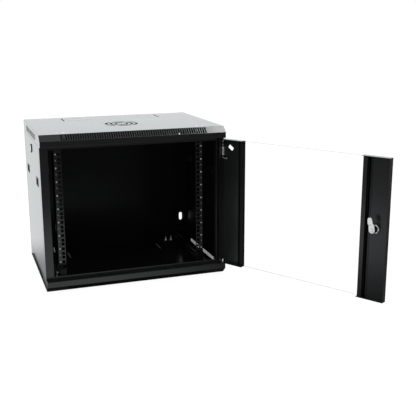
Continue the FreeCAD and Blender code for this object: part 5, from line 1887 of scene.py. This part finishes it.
@dataclass
class Viewpoint:
    """The camera's place, turned about the cabinet's middle."""

    azimuth: float = -18.36
    elevation: float = 13.64
    roll: float = -0.45
    aside: float = -0.23877
    lift: float = 0.0345
    distance: float = 2.52113
    focus: float = 62.49
    sensor: float = 36.0
    shift: Pair = (0.04197, -0.00846)
    target: Triple = (0.0, 0.0, 0.25)

    def build(self) -> None:
        """Add the camera and make it the scene's."""
        turn, rise, tilt = (math.radians(value)
                            for value in (self.azimuth, self.elevation, self.roll))
        back = Vector((math.sin(turn) * math.cos(rise), -math.cos(turn) * math.cos(rise),
                       math.sin(rise)))
        right = (-back).cross(UP).normalized()
        upward = right.cross(-back)
        right, upward = (right * math.cos(tilt) + upward * math.sin(tilt),
                         upward * math.cos(tilt) - right * math.sin(tilt))
        data = bpy.data.cameras.new("camera")
        data.lens = self.focus
        data.sensor_width = self.sensor
        data.shift_x, data.shift_y = self.shift
        camera = bpy.data.objects.new("camera", data)
        bpy.context.scene.collection.objects.link(camera)
        spot = Vector(self.target) + back * self.distance - right * self.aside \
            - upward * self.lift
        turned = Matrix((right, upward, back)).transposed().to_4x4()
        camera.matrix_world = Matrix.Translation(spot) @ turned
        bpy.context.scene.camera = camera


# ------------------------------------------------------------------ the cabinet

@dataclass
class Cabinet:
    """The CAD nodes and the finish that each one wears."""

    nodes: dict[str, bpy.types.Object]
    wardrobe: Wardrobe
    by_slot: dict[str, Finish] = field(default_factory=lambda: {
        "black_steel": Finish.STEEL, "rail_steel": Finish.RAIL, "zinc_steel": Finish.ZINC,
        "chrome": Finish.CHROME, "clear_glass": Finish.GLASS, "black_rubber": Finish.RUBBER,
        "black_plastic": Finish.PLASTIC})
    by_node: dict[str, Finish] = field(default_factory=lambda: {
        "glass_retainer_hinge": Finish.MATT_STEEL})

    def dress(self, record: dict) -> None:
        """Put a finish on every CAD node by its slot.

        Args:
            record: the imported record.
        """
        for part in record["subparts"]:
            node = self.nodes[part["node"]]
            finish = self.by_slot[part["material_slot"]]
            self.wardrobe.dress(node, self.by_node.get(part["node"], finish))
            log.info("dressed %s", part["node"])


def main() -> None:
    """Build the looks of the cabinet and the studio round it."""
    logging.basicConfig(level=logging.INFO)
    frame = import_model()
    bpy.context.scene.view_settings.view_transform = "Standard"
    wardrobe = Wardrobe()
    cabinet = Cabinet(frame["nodes"], wardrobe)
    cabinet.dress(frame["record"])
    joints = {joint["name"]: joint for joint in frame["joints"]}
    Hardware(Fitter(wardrobe, cabinet.by_slot), joints).build()
    Studio().build()
    Viewpoint().build()


if __name__ == "__main__":
    main()
